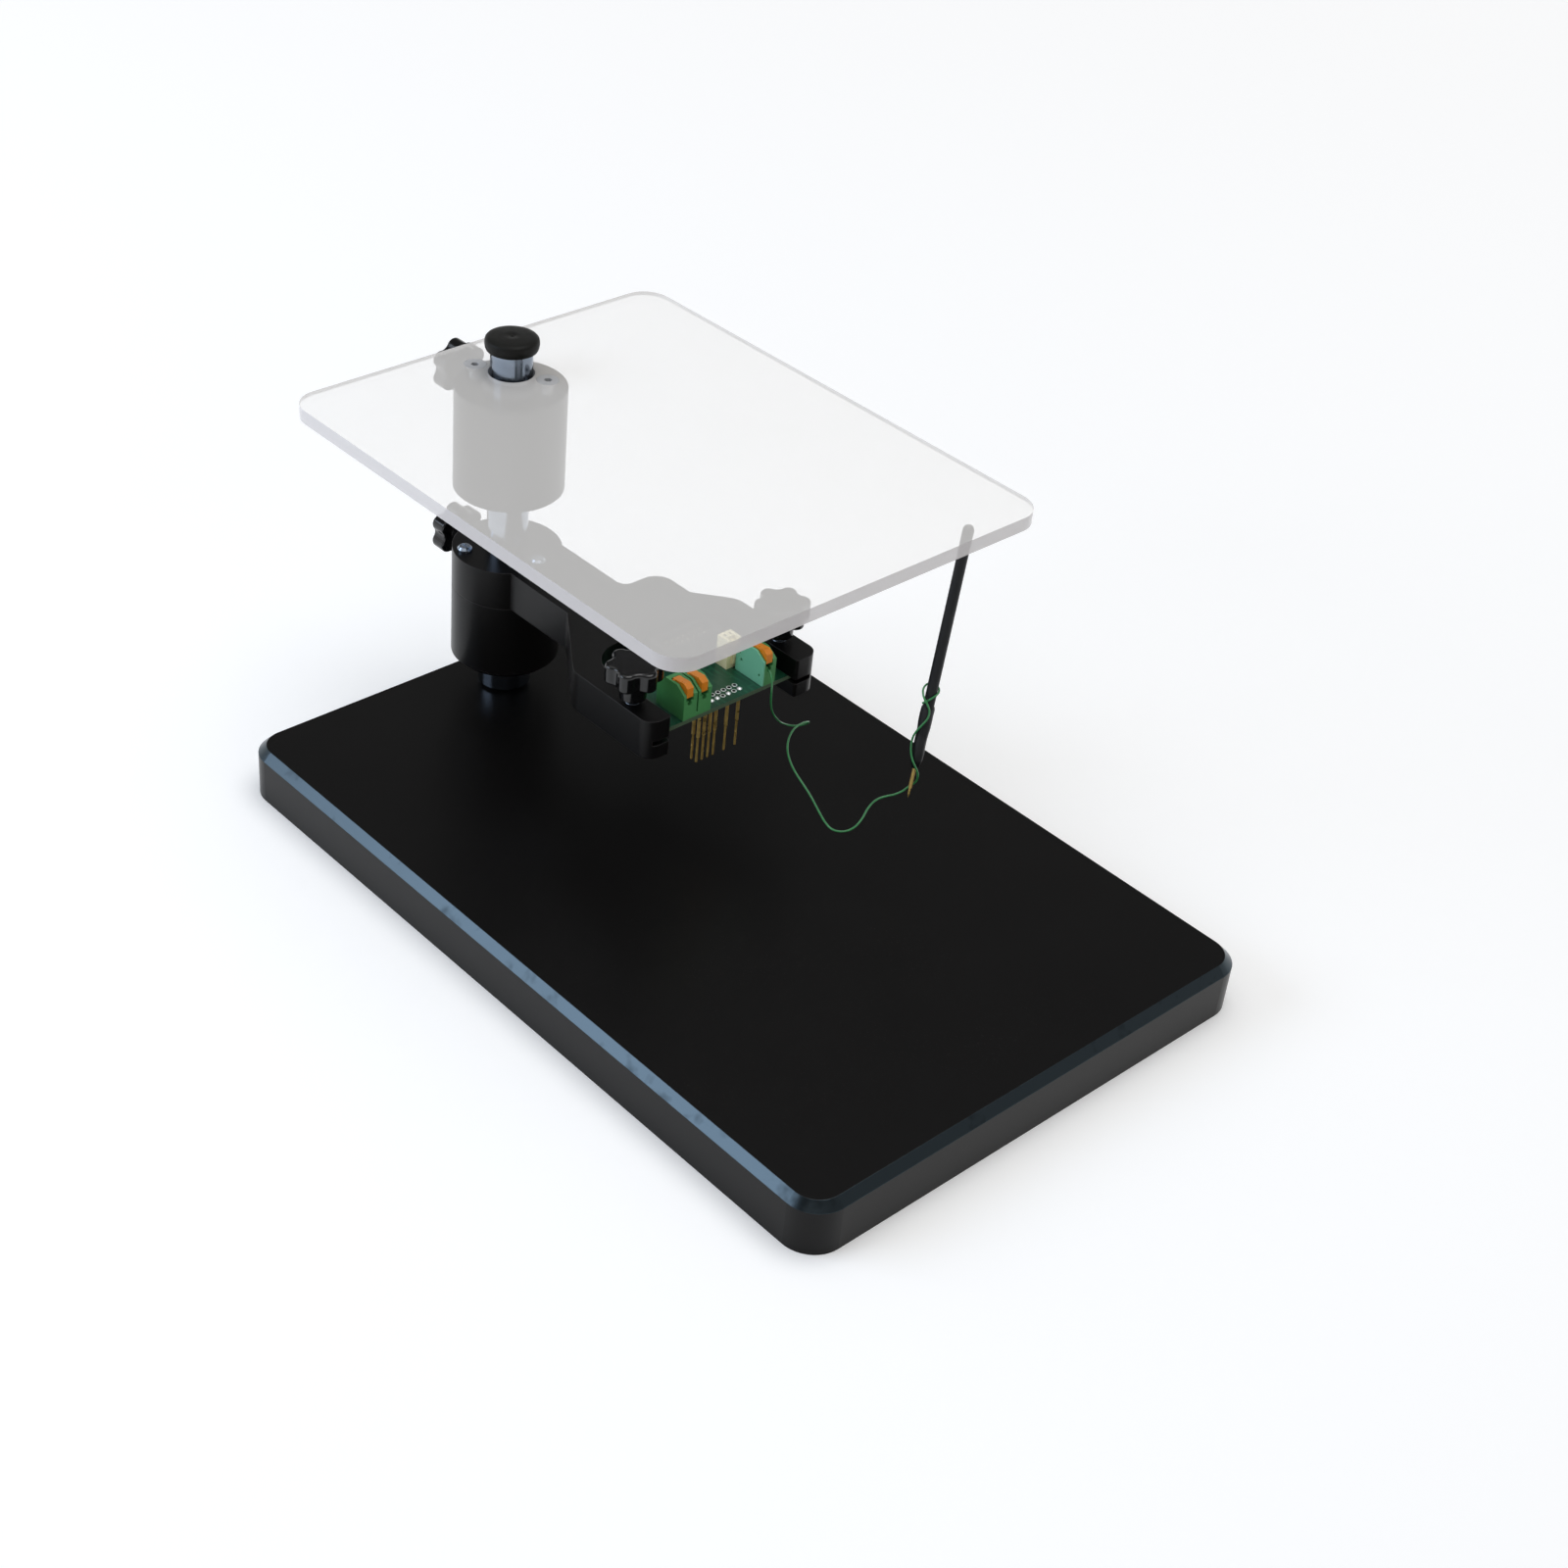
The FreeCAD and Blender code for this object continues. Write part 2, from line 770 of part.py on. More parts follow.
def make_arm_screws():
    screws = []
    head = S["arm_screw_head"]
    tall = S["arm_screw_head_height"]
    for index, angle in enumerate(screw_spots()):
        spot = around_column(S["arm_screw_circle"], angle, arm_top - S["arm_screw_length"])
        blank = revolved(f"arm_screw_{index}", [
            (0, 0),
            (S["arm_screw_radius"], 0),
            (S["arm_screw_radius"], S["arm_screw_length"]),
            (head, S["arm_screw_length"]),
            (head, S["arm_screw_length"] + tall * 0.55),
            (head * 0.72, S["arm_screw_length"] + tall),
            (0, S["arm_screw_length"] + tall),
        ], spot)
        top = around_column(S["arm_screw_circle"], angle, arm_top)
        slot = box(f"arm_screw_slot_{index}",
                   (top[0] - head, top[1] - 0.35, arm_top + tall * 0.45),
                   (top[0] + head, top[1] + 0.35, arm_top + tall + 1.0))
        screws.append(cut(f"arm_screw_cut_{index}", blank, [slot]))
    return node(group("arm_screw_group", screws), "arm_screws")


# Hub of the clear plate

def plate_screw_spots():
    return [S["plate_screw_turn"].value + 180 * index for index in range(2)]


def make_plate_hub():
    play = S["running_fit"]
    body = revolved("plate_hub_body", [
        (S["column_radius"] + 0.2, 0),
        (S["hub_radius"] - 0.8, 0),
        (S["hub_radius"], 0.8),
        (S["hub_radius"], S["plate_hub_height"]),
        (S["bush_radius"] + play, S["plate_hub_height"]),
        (S["bush_radius"] + play, S["bush_lip"]),
        (S["column_radius"] + 0.2, S["bush_lip"]),
    ], (column_x, 0, S["plate_hub_bottom"]))
    tools = [cylinder("hub_stud_hole", S["stud_radius"] + play, S["hub_radius"],
                      (column_x, 0, hub_knob_height), facing(BACKWARD))]
    depth = S["plate_screw_length"] - S["plate_thick"] + 1.0
    for index, angle in enumerate(plate_screw_spots()):
        spot = around_column(S["plate_screw_circle"], angle, plate_bottom - depth)
        tools.append(cylinder(f"hub_screw_hole_{index}", S["plate_screw_radius"], depth, spot))
    return node(cut("plate_hub_cut", body, tools), "plate_hub")


def make_clear_plate():
    near = -S["plate_near"]
    rounding = S["plate_corner"]
    outline = rounded_outline([
        (plate_left, near, rounding),
        (plate_right, near, rounding),
        (plate_right, plate_far, rounding),
        (plate_left, plate_far, rounding),
    ])
    body = padded("clear_plate_body", outline, S["plate_thick"], (0, 0, plate_bottom))
    tools = [cylinder("plate_column_hole", S["plate_hole"], S["plate_thick"],
                      (column_x, 0, plate_bottom))]
    for index, angle in enumerate(plate_screw_spots()):
        spot = around_column(S["plate_screw_circle"], angle, plate_bottom)
        tools.append(cylinder(f"plate_screw_hole_{index}", S["plate_screw_radius"],
                              S["plate_thick"], spot))
        spot = around_column(S["plate_screw_circle"], angle, plate_top - S["plate_screw_cone"])
        tools.append(cone(f"plate_countersink_{index}", S["plate_screw_radius"],
                          S["plate_screw_head"], S["plate_screw_cone"], spot))
    seat = probe_seat()
    tools.append(sphere("probe_dimple", S["probe_radius"] + 0.1, seat))
    return node(cut("clear_plate_cut", body, tools), "clear_plate")


def make_plate_screws():
    screws = []
    for index, angle in enumerate(plate_screw_spots()):
        bottom = plate_top - S["plate_screw_length"]
        spot = around_column(S["plate_screw_circle"], angle, bottom)
        blank = revolved(f"plate_screw_{index}", [
            (0, 0),
            (S["plate_screw_radius"], 0),
            (S["plate_screw_radius"], S["plate_screw_length"] - S["plate_screw_cone"]),
            (S["plate_screw_head"], S["plate_screw_length"]),
            (0, S["plate_screw_length"]),
        ], spot)
        socket_depth = S["plate_screw_cone"] * 0.7
        spot = around_column(S["plate_screw_circle"], angle, plate_top - socket_depth)
        socket = hexagon(f"plate_screw_socket_{index}", S["plate_screw_radius"] * 0.72,
                         socket_depth + 1.0, spot)
        screws.append(cut(f"plate_screw_cut_{index}", blank, [socket]))
    return node(group("plate_screw_group", screws), "plate_screws")


# Star knobs and studs

def make_knob(label, at, turn):
    """A star knob with its neck's foot at a point, standing along its own Z axis."""
    outline = star_outline(S["knob_radius"].value, S["knob_lobe"].value,
                           S["knob_valley"].value, 6)
    star = padded(f"{label}_star", outline, S["knob_thick"], (0, 0, S["knob_neck"]))
    dress(star, "Fillet", S["knob_thick"], S["knob_round"])
    dress(star, "Fillet", 0, S["knob_round"] * 0.7)
    neck = cone(f"{label}_neck", S["knob_neck_radius"], S["knob_neck_radius"] + 0.4,
                S["knob_neck"] + 1.0, (0, 0, 0))
    blank = fuse(f"{label}_blank", [star, neck])
    bore = cylinder(f"{label}_bore", S["stud_radius"] + S["running_fit"],
                    S["stud_in_knob"] + S["knob_bore_extra"], (0, 0, 0))
    knob = cut(f"{label}_cut", blank, [bore])
    place(knob, at, turn)
    return node(knob, label)


def make_stud(label, length, at, turn):
    """A stud with chamfered ends, from its tip at a point, along its own Z axis."""
    radius = S["stud_radius"]
    tip = radius * 0.8
    return node(revolved(f"{label}_body", [
        (0, 0),
        (tip, 0),
        (radius, radius - tip),
        (radius, length),
        (0, length),
    ], at, turn), label)


def make_side_clamp(prefix, height):
    """A stud through the side of a hub onto its bush, and the knob on it."""
    turn = facing(BACKWARD)
    tip = S["bush_radius"] + S["running_fit"]
    knob_foot = S["hub_radius"] + S["knob_gap"]
    make_stud(f"{prefix}_stud", knob_foot + S["stud_in_knob"] - tip,
              (column_x - tip, 0, height), turn)
    make_knob(f"{prefix}_knob", (column_x - knob_foot, 0, height), turn)


def make_wing_clamp(prefix, side):
    """A stud down through a wing onto the adapter board, and the knob on it."""
    tip = board_top + S["running_fit"]
    knob_foot = arm_top + S["wing_knob_lift"]
    make_stud(f"{prefix}_stud", knob_foot + S["stud_in_knob"] - tip,
              (wing_knob_x, side, tip), Rotation())
    make_knob(f"{prefix}_knob", (wing_knob_x, side, knob_foot), Rotation())


# Adapter board and what stands on it

def contact_spots():
    """Plan positions of the spring contact pins on their grid."""
    first = board_near + S["board_tongue"] + S["contact_first"]
    front_row = board_front - S["contact_rows_back"]
    spots = [(front_row, first + S["pin_pitch"] * column) for column in FRONT_ROW_COLUMNS]
    back_row = front_row - S["pin_pitch"]
    spots += [(back_row, first + S["pin_pitch"] * column) for column in BACK_ROW_COLUMNS]
    return spots


def header_pin_spots():
    """Plan positions of the box header's pins, in two rows of seven."""
    middle_x = board_front - S["box_header_back"]
    middle_y = S["box_header_along"] - S["pocket_near"]
    return [(middle_x + S["pin_pitch"] * row, middle_y + S["pin_pitch"] * (column - 3))
            for row in (-0.5, 0.5) for column in range(7)]


def make_adapter_board():
    blank = box("board_blank", (board_back, board_near, board_bottom),
                (board_front, board_far, board_top))
    holes = [cylinder(f"board_hole_{index}", S["barrel_radius"], S["board_thick"],
                      (x, y, board_bottom)) for index, (x, y) in enumerate(contact_spots())]
    holes += [cylinder(f"header_hole_{index}", S["pin_square"] * 0.75, S["board_thick"],
                       (x, y, board_bottom)) for index, (x, y) in enumerate(header_pin_spots())]
    return node(cut("board_cut", blank, holes), "adapter_board")


def block_profile():
    """Side view of a push-in terminal, from its front foot, going back along -X."""
    return [
        (0, 0),
        (0, S["block_front"]),
        (S["block_depth"] * -0.3, S["block_height"]),
        (S["block_depth"] * -0.72, S["block_height"]),
        (-S["block_depth"], S["block_back"]),
        (-S["block_depth"], 0),
    ]


def groove_profile():
    """Side view of the groove that a lever sits in."""
    return [
        (1.0, S["block_front"] - 2.4),
        (1.0, S["block_height"] + 1.5),
        (S["lever_pivot_back"] * -1.17, S["block_height"] + 1.5),
        (S["lever_pivot_back"] * -1.17, S["block_height"] - 1.9),
        (-3.0, S["block_front"] - 2.4),
    ]


def lever_profile():
    """Side view of a lever, proud of the block's sloping front."""
    return [
        (-0.2, S["block_front"] - 1.0),
        (-0.2, S["block_front"] + 2.6),
        (-2.2, S["block_height"] + 1.0),
        (S["lever_pivot_back"] * -1.08, S["block_height"] + 0.4),
        (S["lever_pivot_back"] * -1.08, S["block_height"] - 1.3),
        (-3.4, S["block_front"] - 0.7),
    ]


def cut_block(name, label, width, poles, middle, extra_tools):
    """Cut the groove, wire hole and pivot hole of each pole out of a block."""
    front = board_front
    body = slab(f"{name}_body", block_profile(), width, (front, middle, board_top))
    tools = list(extra_tools)
    groove_width = S["lever_width"] + S["lever_play"] * 2
    pivot_width = S["lever_width"] + S["lever_play"] * 2 + 0.7
    for index, pole in enumerate(poles):
        groove = slab(f"{name}_groove_{index}", groove_profile(), groove_width,
                      (front, pole, board_top))
        hole = cylinder(f"{name}_wire_hole_{index}", S["wire_hole_radius"], 8.0,
                        (front, pole, board_top + S["wire_hole_height"]), facing(BACKWARD))
        pivot = cylinder(f"{name}_pivot_hole_{index}",
                         S["lever_pivot_radius"] + S["running_fit"], pivot_width,
                         (front - S["lever_pivot_back"], pole - pivot_width / 2,
                          board_top + S["lever_pivot_height"]), facing(Vector(0, 1, 0)))
        tools += [groove, hole, pivot]
    return node(cut(f"{name}_cut", body, tools), label)


def make_lever(label, pole):
    front = board_front
    wedge = slab(f"{label}_wedge", lever_profile(), S["lever_width"], (front, pole, board_top))
    pin_length = S["lever_width"] + S["lever_play"] * 2 + 0.6
    pin = cylinder(f"{label}_pin", S["lever_pivot_radius"], pin_length,
                   (front - S["lever_pivot_back"], pole - pin_length / 2,
                    board_top + S["lever_pivot_height"]), facing(Vector(0, 1, 0)))
    return node(fuse(f"{label}_fused", [wedge, pin]), label)


def single_pole():
    """Middle of the single terminal along the board."""
    return S["pocket_far"] - S["single_block_far"] - S["pole_width"] / 2


def wire_mouth():
    """Mouth of the single terminal's wire hole, where the free wire leaves."""
    return Vector(float(board_front), float(single_pole() - S["lever_offset"]),
                  float(board_top + S["wire_hole_height"]))


def make_terminals():
    """Two poles side by side in one block, and one pole with an end cover on its open side."""
    half_pole = S["pole_width"] / 2
    pitch = S["pole_width"] + S["pole_gap"]
    first = S["double_block_near"] - S["pocket_near"] + half_pole
    middle = first + pitch / 2
    slot = box("double_slot",
               (board_front - S["block_depth"] + 2.0, middle - S["pole_gap"] / 2, board_top + 1.5),
               (board_front + 1.0, middle + S["pole_gap"] / 2, board_top + S["block_height"] + 1.0))
    poles = [first - S["lever_offset"], first + pitch - S["lever_offset"]]
    cut_block("double", "double_terminal", S["pole_width"] + pitch, poles, middle, [slot])

    single = single_pole()
    module_width = S["pole_width"] - S["cover_thick"]
    module_middle = single + S["cover_thick"] / 2
    poles.append(single - S["lever_offset"])
    cut_block("single", "single_terminal", module_width, poles[2:], module_middle, [])
    make_cover(single - half_pole + S["cover_thick"] / 2)
    for label, pole in zip(("lever_one", "lever_two", "lever_three"), poles):
        make_lever(label, pole)


def make_cover(middle):
    """The end cover, with its three small moulding holes."""
    plate = slab("cover_body", block_profile(), S["cover_thick"], (board_front, middle, board_top))
    places = ((0.14, 0.30), (0.80, 0.42), (0.88, 0.60))
    holes = []
    for index, (back, up) in enumerate(places):
        spot = (board_front - S["block_depth"] * back, middle - S["cover_thick"],
                board_top + S["block_height"] * up)
        holes.append(cylinder(f"cover_hole_{index}", 0.55, S["cover_thick"] * 2, spot,
                              facing(Vector(0, 1, 0))))
    return node(cut("cover_cut", plate, holes), "terminal_cover")


def make_box_header():
    """A shrouded header whose fourteen pins stand in two rows."""
    middle_x = board_front - S["box_header_back"]
    middle_y = S["box_header_along"] - S["pocket_near"]
    half_x = S["box_header_width"] / 2
    half_y = S["box_header_length"] / 2
    wall = S["box_header_wall"]
    top = board_top + S["box_header_height"]
    blank = box("header_blank", (middle_x - half_x, middle_y - half_y, board_top),
                (middle_x + half_x, middle_y + half_y, top))
    hollow = box("header_hollow",
                 (middle_x - half_x + wall, middle_y - half_y + wall, board_top + 2.0),
                 (middle_x + half_x - wall, middle_y + half_y - wall, top + 1.0))
    key = box("header_key", (middle_x + half_x - wall - 1.0, middle_y - 2.2, board_top + 3.4),
              (middle_x + half_x + 1.0, middle_y + 2.2, top + 1.0))
    half_pin = S["pin_square"] / 2
    bores, pins = [], []
    for index, (x, y) in enumerate(header_pin_spots()):
        bores.append(box(f"header_bore_{index}", (x - half_pin, y - half_pin, board_top),
                         (x + half_pin, y + half_pin, board_top + 2.0)))
        pins.append(box(f"header_pin_{index}",
                        (x - half_pin, y - half_pin, board_bottom - S["pin_tail"]),
                        (x + half_pin, y + half_pin, board_top + S["pin_height"])))
    node(cut("header_cut", blank, [hollow, key] + bores), "box_header")
    node(group("header_pin_group", pins), "header_pins")


def make_plug_housing():
    """A tall two-pin housing with two sockets in its top and a rib on one side."""
    middle_x = board_front - S["plug_back"]
    middle_y = S["plug_along"] - S["pocket_near"]
    half_x = S["plug_length"] / 2
    half_y = S["plug_width"] / 2
    top = board_top + S["plug_height"]
    blank = box("plug_blank", (middle_x - half_x, middle_y - half_y, board_top),
                (middle_x + half_x, middle_y + half_y, top))
    rib = box("plug_rib", (middle_x + half_x, middle_y - 0.9, board_top + 2.0),
              (middle_x + half_x + 0.8, middle_y + 0.9, top - 1.2))
    blank = fuse("plug_fused", [blank, rib])
    notch = box("plug_notch", (middle_x + 0.4, middle_y - 1.9, top - 1.8),
                (middle_x + half_x + 2.0, middle_y + 1.9, top + 1.0))
    sockets = [box(f"plug_socket_{side}", (middle_x - 1.6, middle_y + side * 1.25 - 0.5, top - 4.0),
                   (middle_x - 0.4, middle_y + side * 1.25 + 0.5, top + 1.0)) for side in (-1, 1)]
    return node(cut("plug_cut", blank, [notch] + sockets), "plug_housing")


def make_contact_pins():
    barrels = []
    bottom = board_bottom - S["barrel_below"]
    for index, (x, y) in enumerate(contact_spots()):
        length = board_top - bottom
        tube = cylinder(f"barrel_{index}", S["barrel_radius"], length, (x, y, bottom))
        bore = cylinder(f"barrel_bore_{index}", S["plunger_radius"] + S["running_fit"],
                        S["barrel_bore_depth"], (x, y, bottom))
        barrels.append(cut(f"barrel_cut_{index}", tube, [bore]))
        point = board_bottom - S["plunger_drop"]
        straight = bottom + S["plunger_inside"] - point
        plunger = revolved(f"plunger_{index}", [
            (0, 0),
            (S["plunger_radius"], S["plunger_radius"] * 1.6),
            (S["plunger_radius"], straight),
            (0, straight),
        ], (x, y, point))
        node(plunger, f"contact_pin_{index + 1}")
    node(group("barrel_group", barrels), "pin_barrels")


# Probe

def probe_seat():
    """Centre of the probe's round top, in the dimple under the clear plate."""
    return (seat_x, seat_y, plate_bottom - S["probe_seat_depth"])


def probe_axis():
    """The probe's length from the needle's point to its seat, and its direction."""
    seat = Vector(*(float(amount) for amount in probe_seat()))
    axis = seat - needle_point
    return axis.Length, axis.normalize()


def on_probe(height, angle, distance):
    """A place beside the probe, by its height along the axis and its turn about it."""
    _, axis = probe_axis()
    side = (Vector(1, 0, 0) - axis * axis.x).normalize()
    across = axis.cross(side)
    turned = math.radians(angle)
    outward = side * math.cos(turned) + across * math.sin(turned)
    return needle_point + axis * height + outward * distance


def make_probe():
    length, axis = probe_axis()
    turn = facing(axis)
    rod = fuse("rod_fused", [
        cylinder("rod_straight", S["probe_radius"], length - S["rod_foot"],
                 on_probe(float(S["rod_foot"]), 0, 0), turn),
        sphere("rod_top", S["probe_radius"], probe_seat()),
    ])
    node(rod, "probe_rod")

    sleeve = revolved("sleeve_body", [
        (0, S["rod_foot"]),
        (0, S["needle_barrel_top"]),
        (S["needle_barrel_radius"], S["needle_barrel_top"]),
        (S["needle_barrel_radius"], S["sleeve_mouth_height"]),
        (S["sleeve_mouth"], S["sleeve_mouth_height"]),
        (S["sleeve_radius"], S["sleeve_mouth_height"] + S["sleeve_taper"]),
        (S["sleeve_radius"], S["rod_foot"] - 6.0),
        (S["sleeve_bulge"], S["rod_foot"]),
        (S["sleeve_bulge"] - 0.1, S["sleeve_top"] - 1.0),
        (S["sleeve_bulge"] - 0.3, S["sleeve_top"]),
        (S["probe_radius"], S["sleeve_top"]),
        (S["probe_radius"], S["rod_foot"]),
    ], needle_point, turn)
    node(sleeve, "probe_sleeve")

    bore_top = S["needle_barrel_foot"] + S["needle_inside"] + S["needle_travel_room"]
    bore_radius = S["needle_radius"] + S["running_fit"]
    barrel = revolved("needle_barrel_body", [
        (bore_radius, S["needle_barrel_foot"]),
        (S["needle_barrel_radius"], S["needle_barrel_foot"]),
        (S["needle_barrel_radius"], S["needle_barrel_top"]),
        (0, S["needle_barrel_top"]),
        (0, bore_top),
        (bore_radius, bore_top),
    ], needle_point, turn)
    node(barrel, "needle_barrel")

    needle_top = S["needle_barrel_foot"] + S["needle_inside"]
    needle = revolved("needle_body", [
        (0, 0),
        (S["needle_radius"], S["needle_radius"] * 4),
        (S["needle_radius"], needle_top),
        (0, needle_top),
    ], needle_point, turn)
    node(needle, "probe_needle")


# Wires

def wire_tube(label, points, diameter):
    """A round tube along straight runs, with an arc as large as two runs allow at each turn."""
    points = [Vector(point) for point in points]
    edges = []
    start = points[0]
    radii = []
    for before, point, after in zip(points, points[1:], points[2:]):
        back = (before - point).normalize()
        ahead = (after - point).normalize()
        half = back.getAngle(ahead) / 2
        reach = 0.45 * min((before - point).Length, (after - point).Length)
        radius = reach * math.tan(half)
        radii.append(radius)
        entry = point + back * reach
        leave = point + ahead * reach
        bisector = (back + ahead).normalize()
        middle = point + bisector * (radius / math.sin(half) - radius)
        edges.append(Part.LineSegment(start, entry).toShape())
        edges.append(Part.Arc(entry, middle, leave).toShape())
        start = leave
    edges.append(Part.LineSegment(start, points[-1]).toShape())
    spine = Part.Wire(edges)
    ring = Part.Circle(points[0], points[1] - points[0], diameter / 2).toShape()
    tube = spine.makePipeShell([Part.Wire([ring])], True, False)
    item = doc.addObject("Part::Feature", f"{label}_tube")
    item.Shape = tube
    expected = math.pi * (diameter / 2) ** 2 * spine.Length
    print(f"{label}: length {spine.Length:.1f} tightest arc {min(radii):.2f} "
          f"volume {tube.Volume:.2f} of {expected:.2f}")
    print(f"{label} radii: " + " ".join(f"{radius:.1f}" for radius in radii))
    return node(item, label)


def main():
    make_base_plate()
    make_column()
    make_foot_ring()
    make_column_cap()
    make_arm_collar()
    bush_gap = S["running_fit"]
    arm_bush_bottom = S["collar_bottom"] + S["bush_lip"] + bush_gap
    arm_bush_height = S["collar_height"] + S["arm_thick"] - (S["bush_lip"] + bush_gap) * 2
    make_bush("arm_bush_body", "arm_bush", arm_bush_bottom, arm_bush_height)
    make_arm()
    make_arm_screws()
    make_side_clamp("arm", S["arm_knob_height"])
    make_plate_hub()
    hub_bush_bottom = S["plate_hub_bottom"] + S["bush_lip"] + bush_gap
    hub_bush_height = S["plate_hub_height"] - S["bush_lip"] - bush_gap * 2
    make_bush("hub_bush_body", "hub_bush", hub_bush_bottom, hub_bush_height)
    make_side_clamp("hub", hub_knob_height)
    make_clear_plate()
    make_plate_screws()
    make_wing_clamp("near_wing", near_knob_y)
    make_wing_clamp("far_wing", far_knob_y)
    make_adapter_board()
    make_terminals()
    make_box_header()
    make_plug_housing()
    make_contact_pins()
    make_probe()
    wire_tube("probe_wire", [on_probe(*place) for place in PROBE_WIRE_ROUTE],
              DIMENSIONS["wire_diameter"])
    mouth = wire_mouth()
    wire_tube("lead_wire", [mouth + Vector(*place) for place in LEAD_ROUTE],
              DIMENSIONS["wire_diameter"])
    doc.recompute()
    export()


def export():
    """Check every object and write each finished piece to its own file."""
    for item in doc.Objects:
        for fault in ("Invalid", "Error"):
            if fault in item.State:
                raise RuntimeError(f"{item.Name} is {fault}")
    for item in NODES:
        if not item.Shape.isValid() or not item.Shape.Solids:
            raise RuntimeError(f"{item.Label} has no valid solid")
        item.Shape.exportStep(f"{PARTS_FOLDER}/{item.Label}.step")
    print(f"{len(NODES)} nodes")


main()
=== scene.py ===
import math

import bmesh
import bpy
from bpy.props import FloatProperty, FloatVectorProperty, IntProperty, PointerProperty
from mathutils import Matrix, Vector


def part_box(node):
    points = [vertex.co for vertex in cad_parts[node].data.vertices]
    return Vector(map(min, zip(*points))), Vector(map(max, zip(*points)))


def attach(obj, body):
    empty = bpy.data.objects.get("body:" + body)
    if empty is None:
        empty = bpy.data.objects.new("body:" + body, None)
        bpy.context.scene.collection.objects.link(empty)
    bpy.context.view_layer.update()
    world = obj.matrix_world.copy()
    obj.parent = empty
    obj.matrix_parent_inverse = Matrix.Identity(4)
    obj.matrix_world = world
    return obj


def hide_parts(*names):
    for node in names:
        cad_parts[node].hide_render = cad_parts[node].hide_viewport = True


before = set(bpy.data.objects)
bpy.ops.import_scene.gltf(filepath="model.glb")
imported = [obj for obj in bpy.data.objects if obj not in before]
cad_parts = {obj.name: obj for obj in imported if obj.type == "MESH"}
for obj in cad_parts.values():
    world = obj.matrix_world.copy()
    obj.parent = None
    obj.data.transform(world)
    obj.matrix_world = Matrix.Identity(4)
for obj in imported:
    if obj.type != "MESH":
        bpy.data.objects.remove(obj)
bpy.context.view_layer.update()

bl_info = {
    "name": "Positioning Frame Looks",
    "version": (1, 0, 0),
    "blender": (4, 5, 0),
    "location": "View3D > Sidebar > Positioning Frame",
    "description": "Dresses the bench frame that holds an adapter board and a probe",
    "category": "Object",
}

# Metres, +Z up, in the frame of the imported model
MM = 0.001


def tint(code):
    """A colour as it is seen, written as six hexadecimal digits, turned into light values."""
    seen = [int(code[place:place + 2], 16) / 255 for place in (0, 2, 4)]
    return tuple(value / 12.92 if value <= 0.04045 else ((value + 0.055) / 1.055) ** 2.4
                 for value in seen)


def middle(node):
    """Centre of a node's box."""
    low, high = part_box(node)
    return (low + high) / 2


# Places that the frame gives

BOARD_LOW, BOARD_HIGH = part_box("adapter_board")
FIRST_PIN = middle("contact_pin_1")
HEADER_MIDDLE = middle("header_pins")
CAP_MIDDLE = middle("column_cap")
GRID_PITCH = 2.54 * MM
MOUTH_RISE = 6.4 * MM
WIRE_MOUTH = Vector((BOARD_HIGH.x, middle("lever_three").y, BOARD_HIGH.z + MOUTH_RISE))

# Columns of the contact grid that hold a pin, in the front row and in the back row
FRONT_ROW_COLUMNS = (0, 1, 2, 3, 5, 7)
BACK_ROW_COLUMNS = (0, 2)
GRID_COLUMNS = 8

# The probe's straight axis, from the needle's point to the seat under the clear plate
PROBE_POINT = Vector((0.0412, 0.0427, 0.046))
PROBE_SEAT = Vector((0.0346, 0.0617, 0.1416))
PROBE_AXIS = (PROBE_SEAT - PROBE_POINT).normalized()

# Radius of the holes in the board, and what the clips take off its near and its far back
# corner along X and along Y, in millimetres
PIN_HOLE = 0.65 * MM
HEADER_HOLE = PIN_HOLE * 0.74
NEAR_CLIP = (5.0, 3.6)
FAR_CLIP = (2.5, 2.5)

# Soldered legs under the board: the terminals', back from its front edge, and the cream
# housing's, from its middle
TERMINAL_LEGS = (3.0 * MM, 9.0 * MM)
HOUSING_LEG_BACK = 0.4 * MM
HOUSING_LEG_SIDE = 1.25 * MM

# The shrunk sleeve's radius at each height along the probe, and the heights at which it is
# cut into rings so that it can crease, in millimetres
SLEEVE_RINGS = ((0.7, 11.6), (1.30, 11.35), (1.5, 11.9), (1.85, 13.2), (2.14, 14.6),
                (2.14, 24.0), (2.50, 30.0), (2.42, 33.8), (2.2, 34.6), (1.95, 34.7))
SLEEVE_CUTS = range(15, 34)

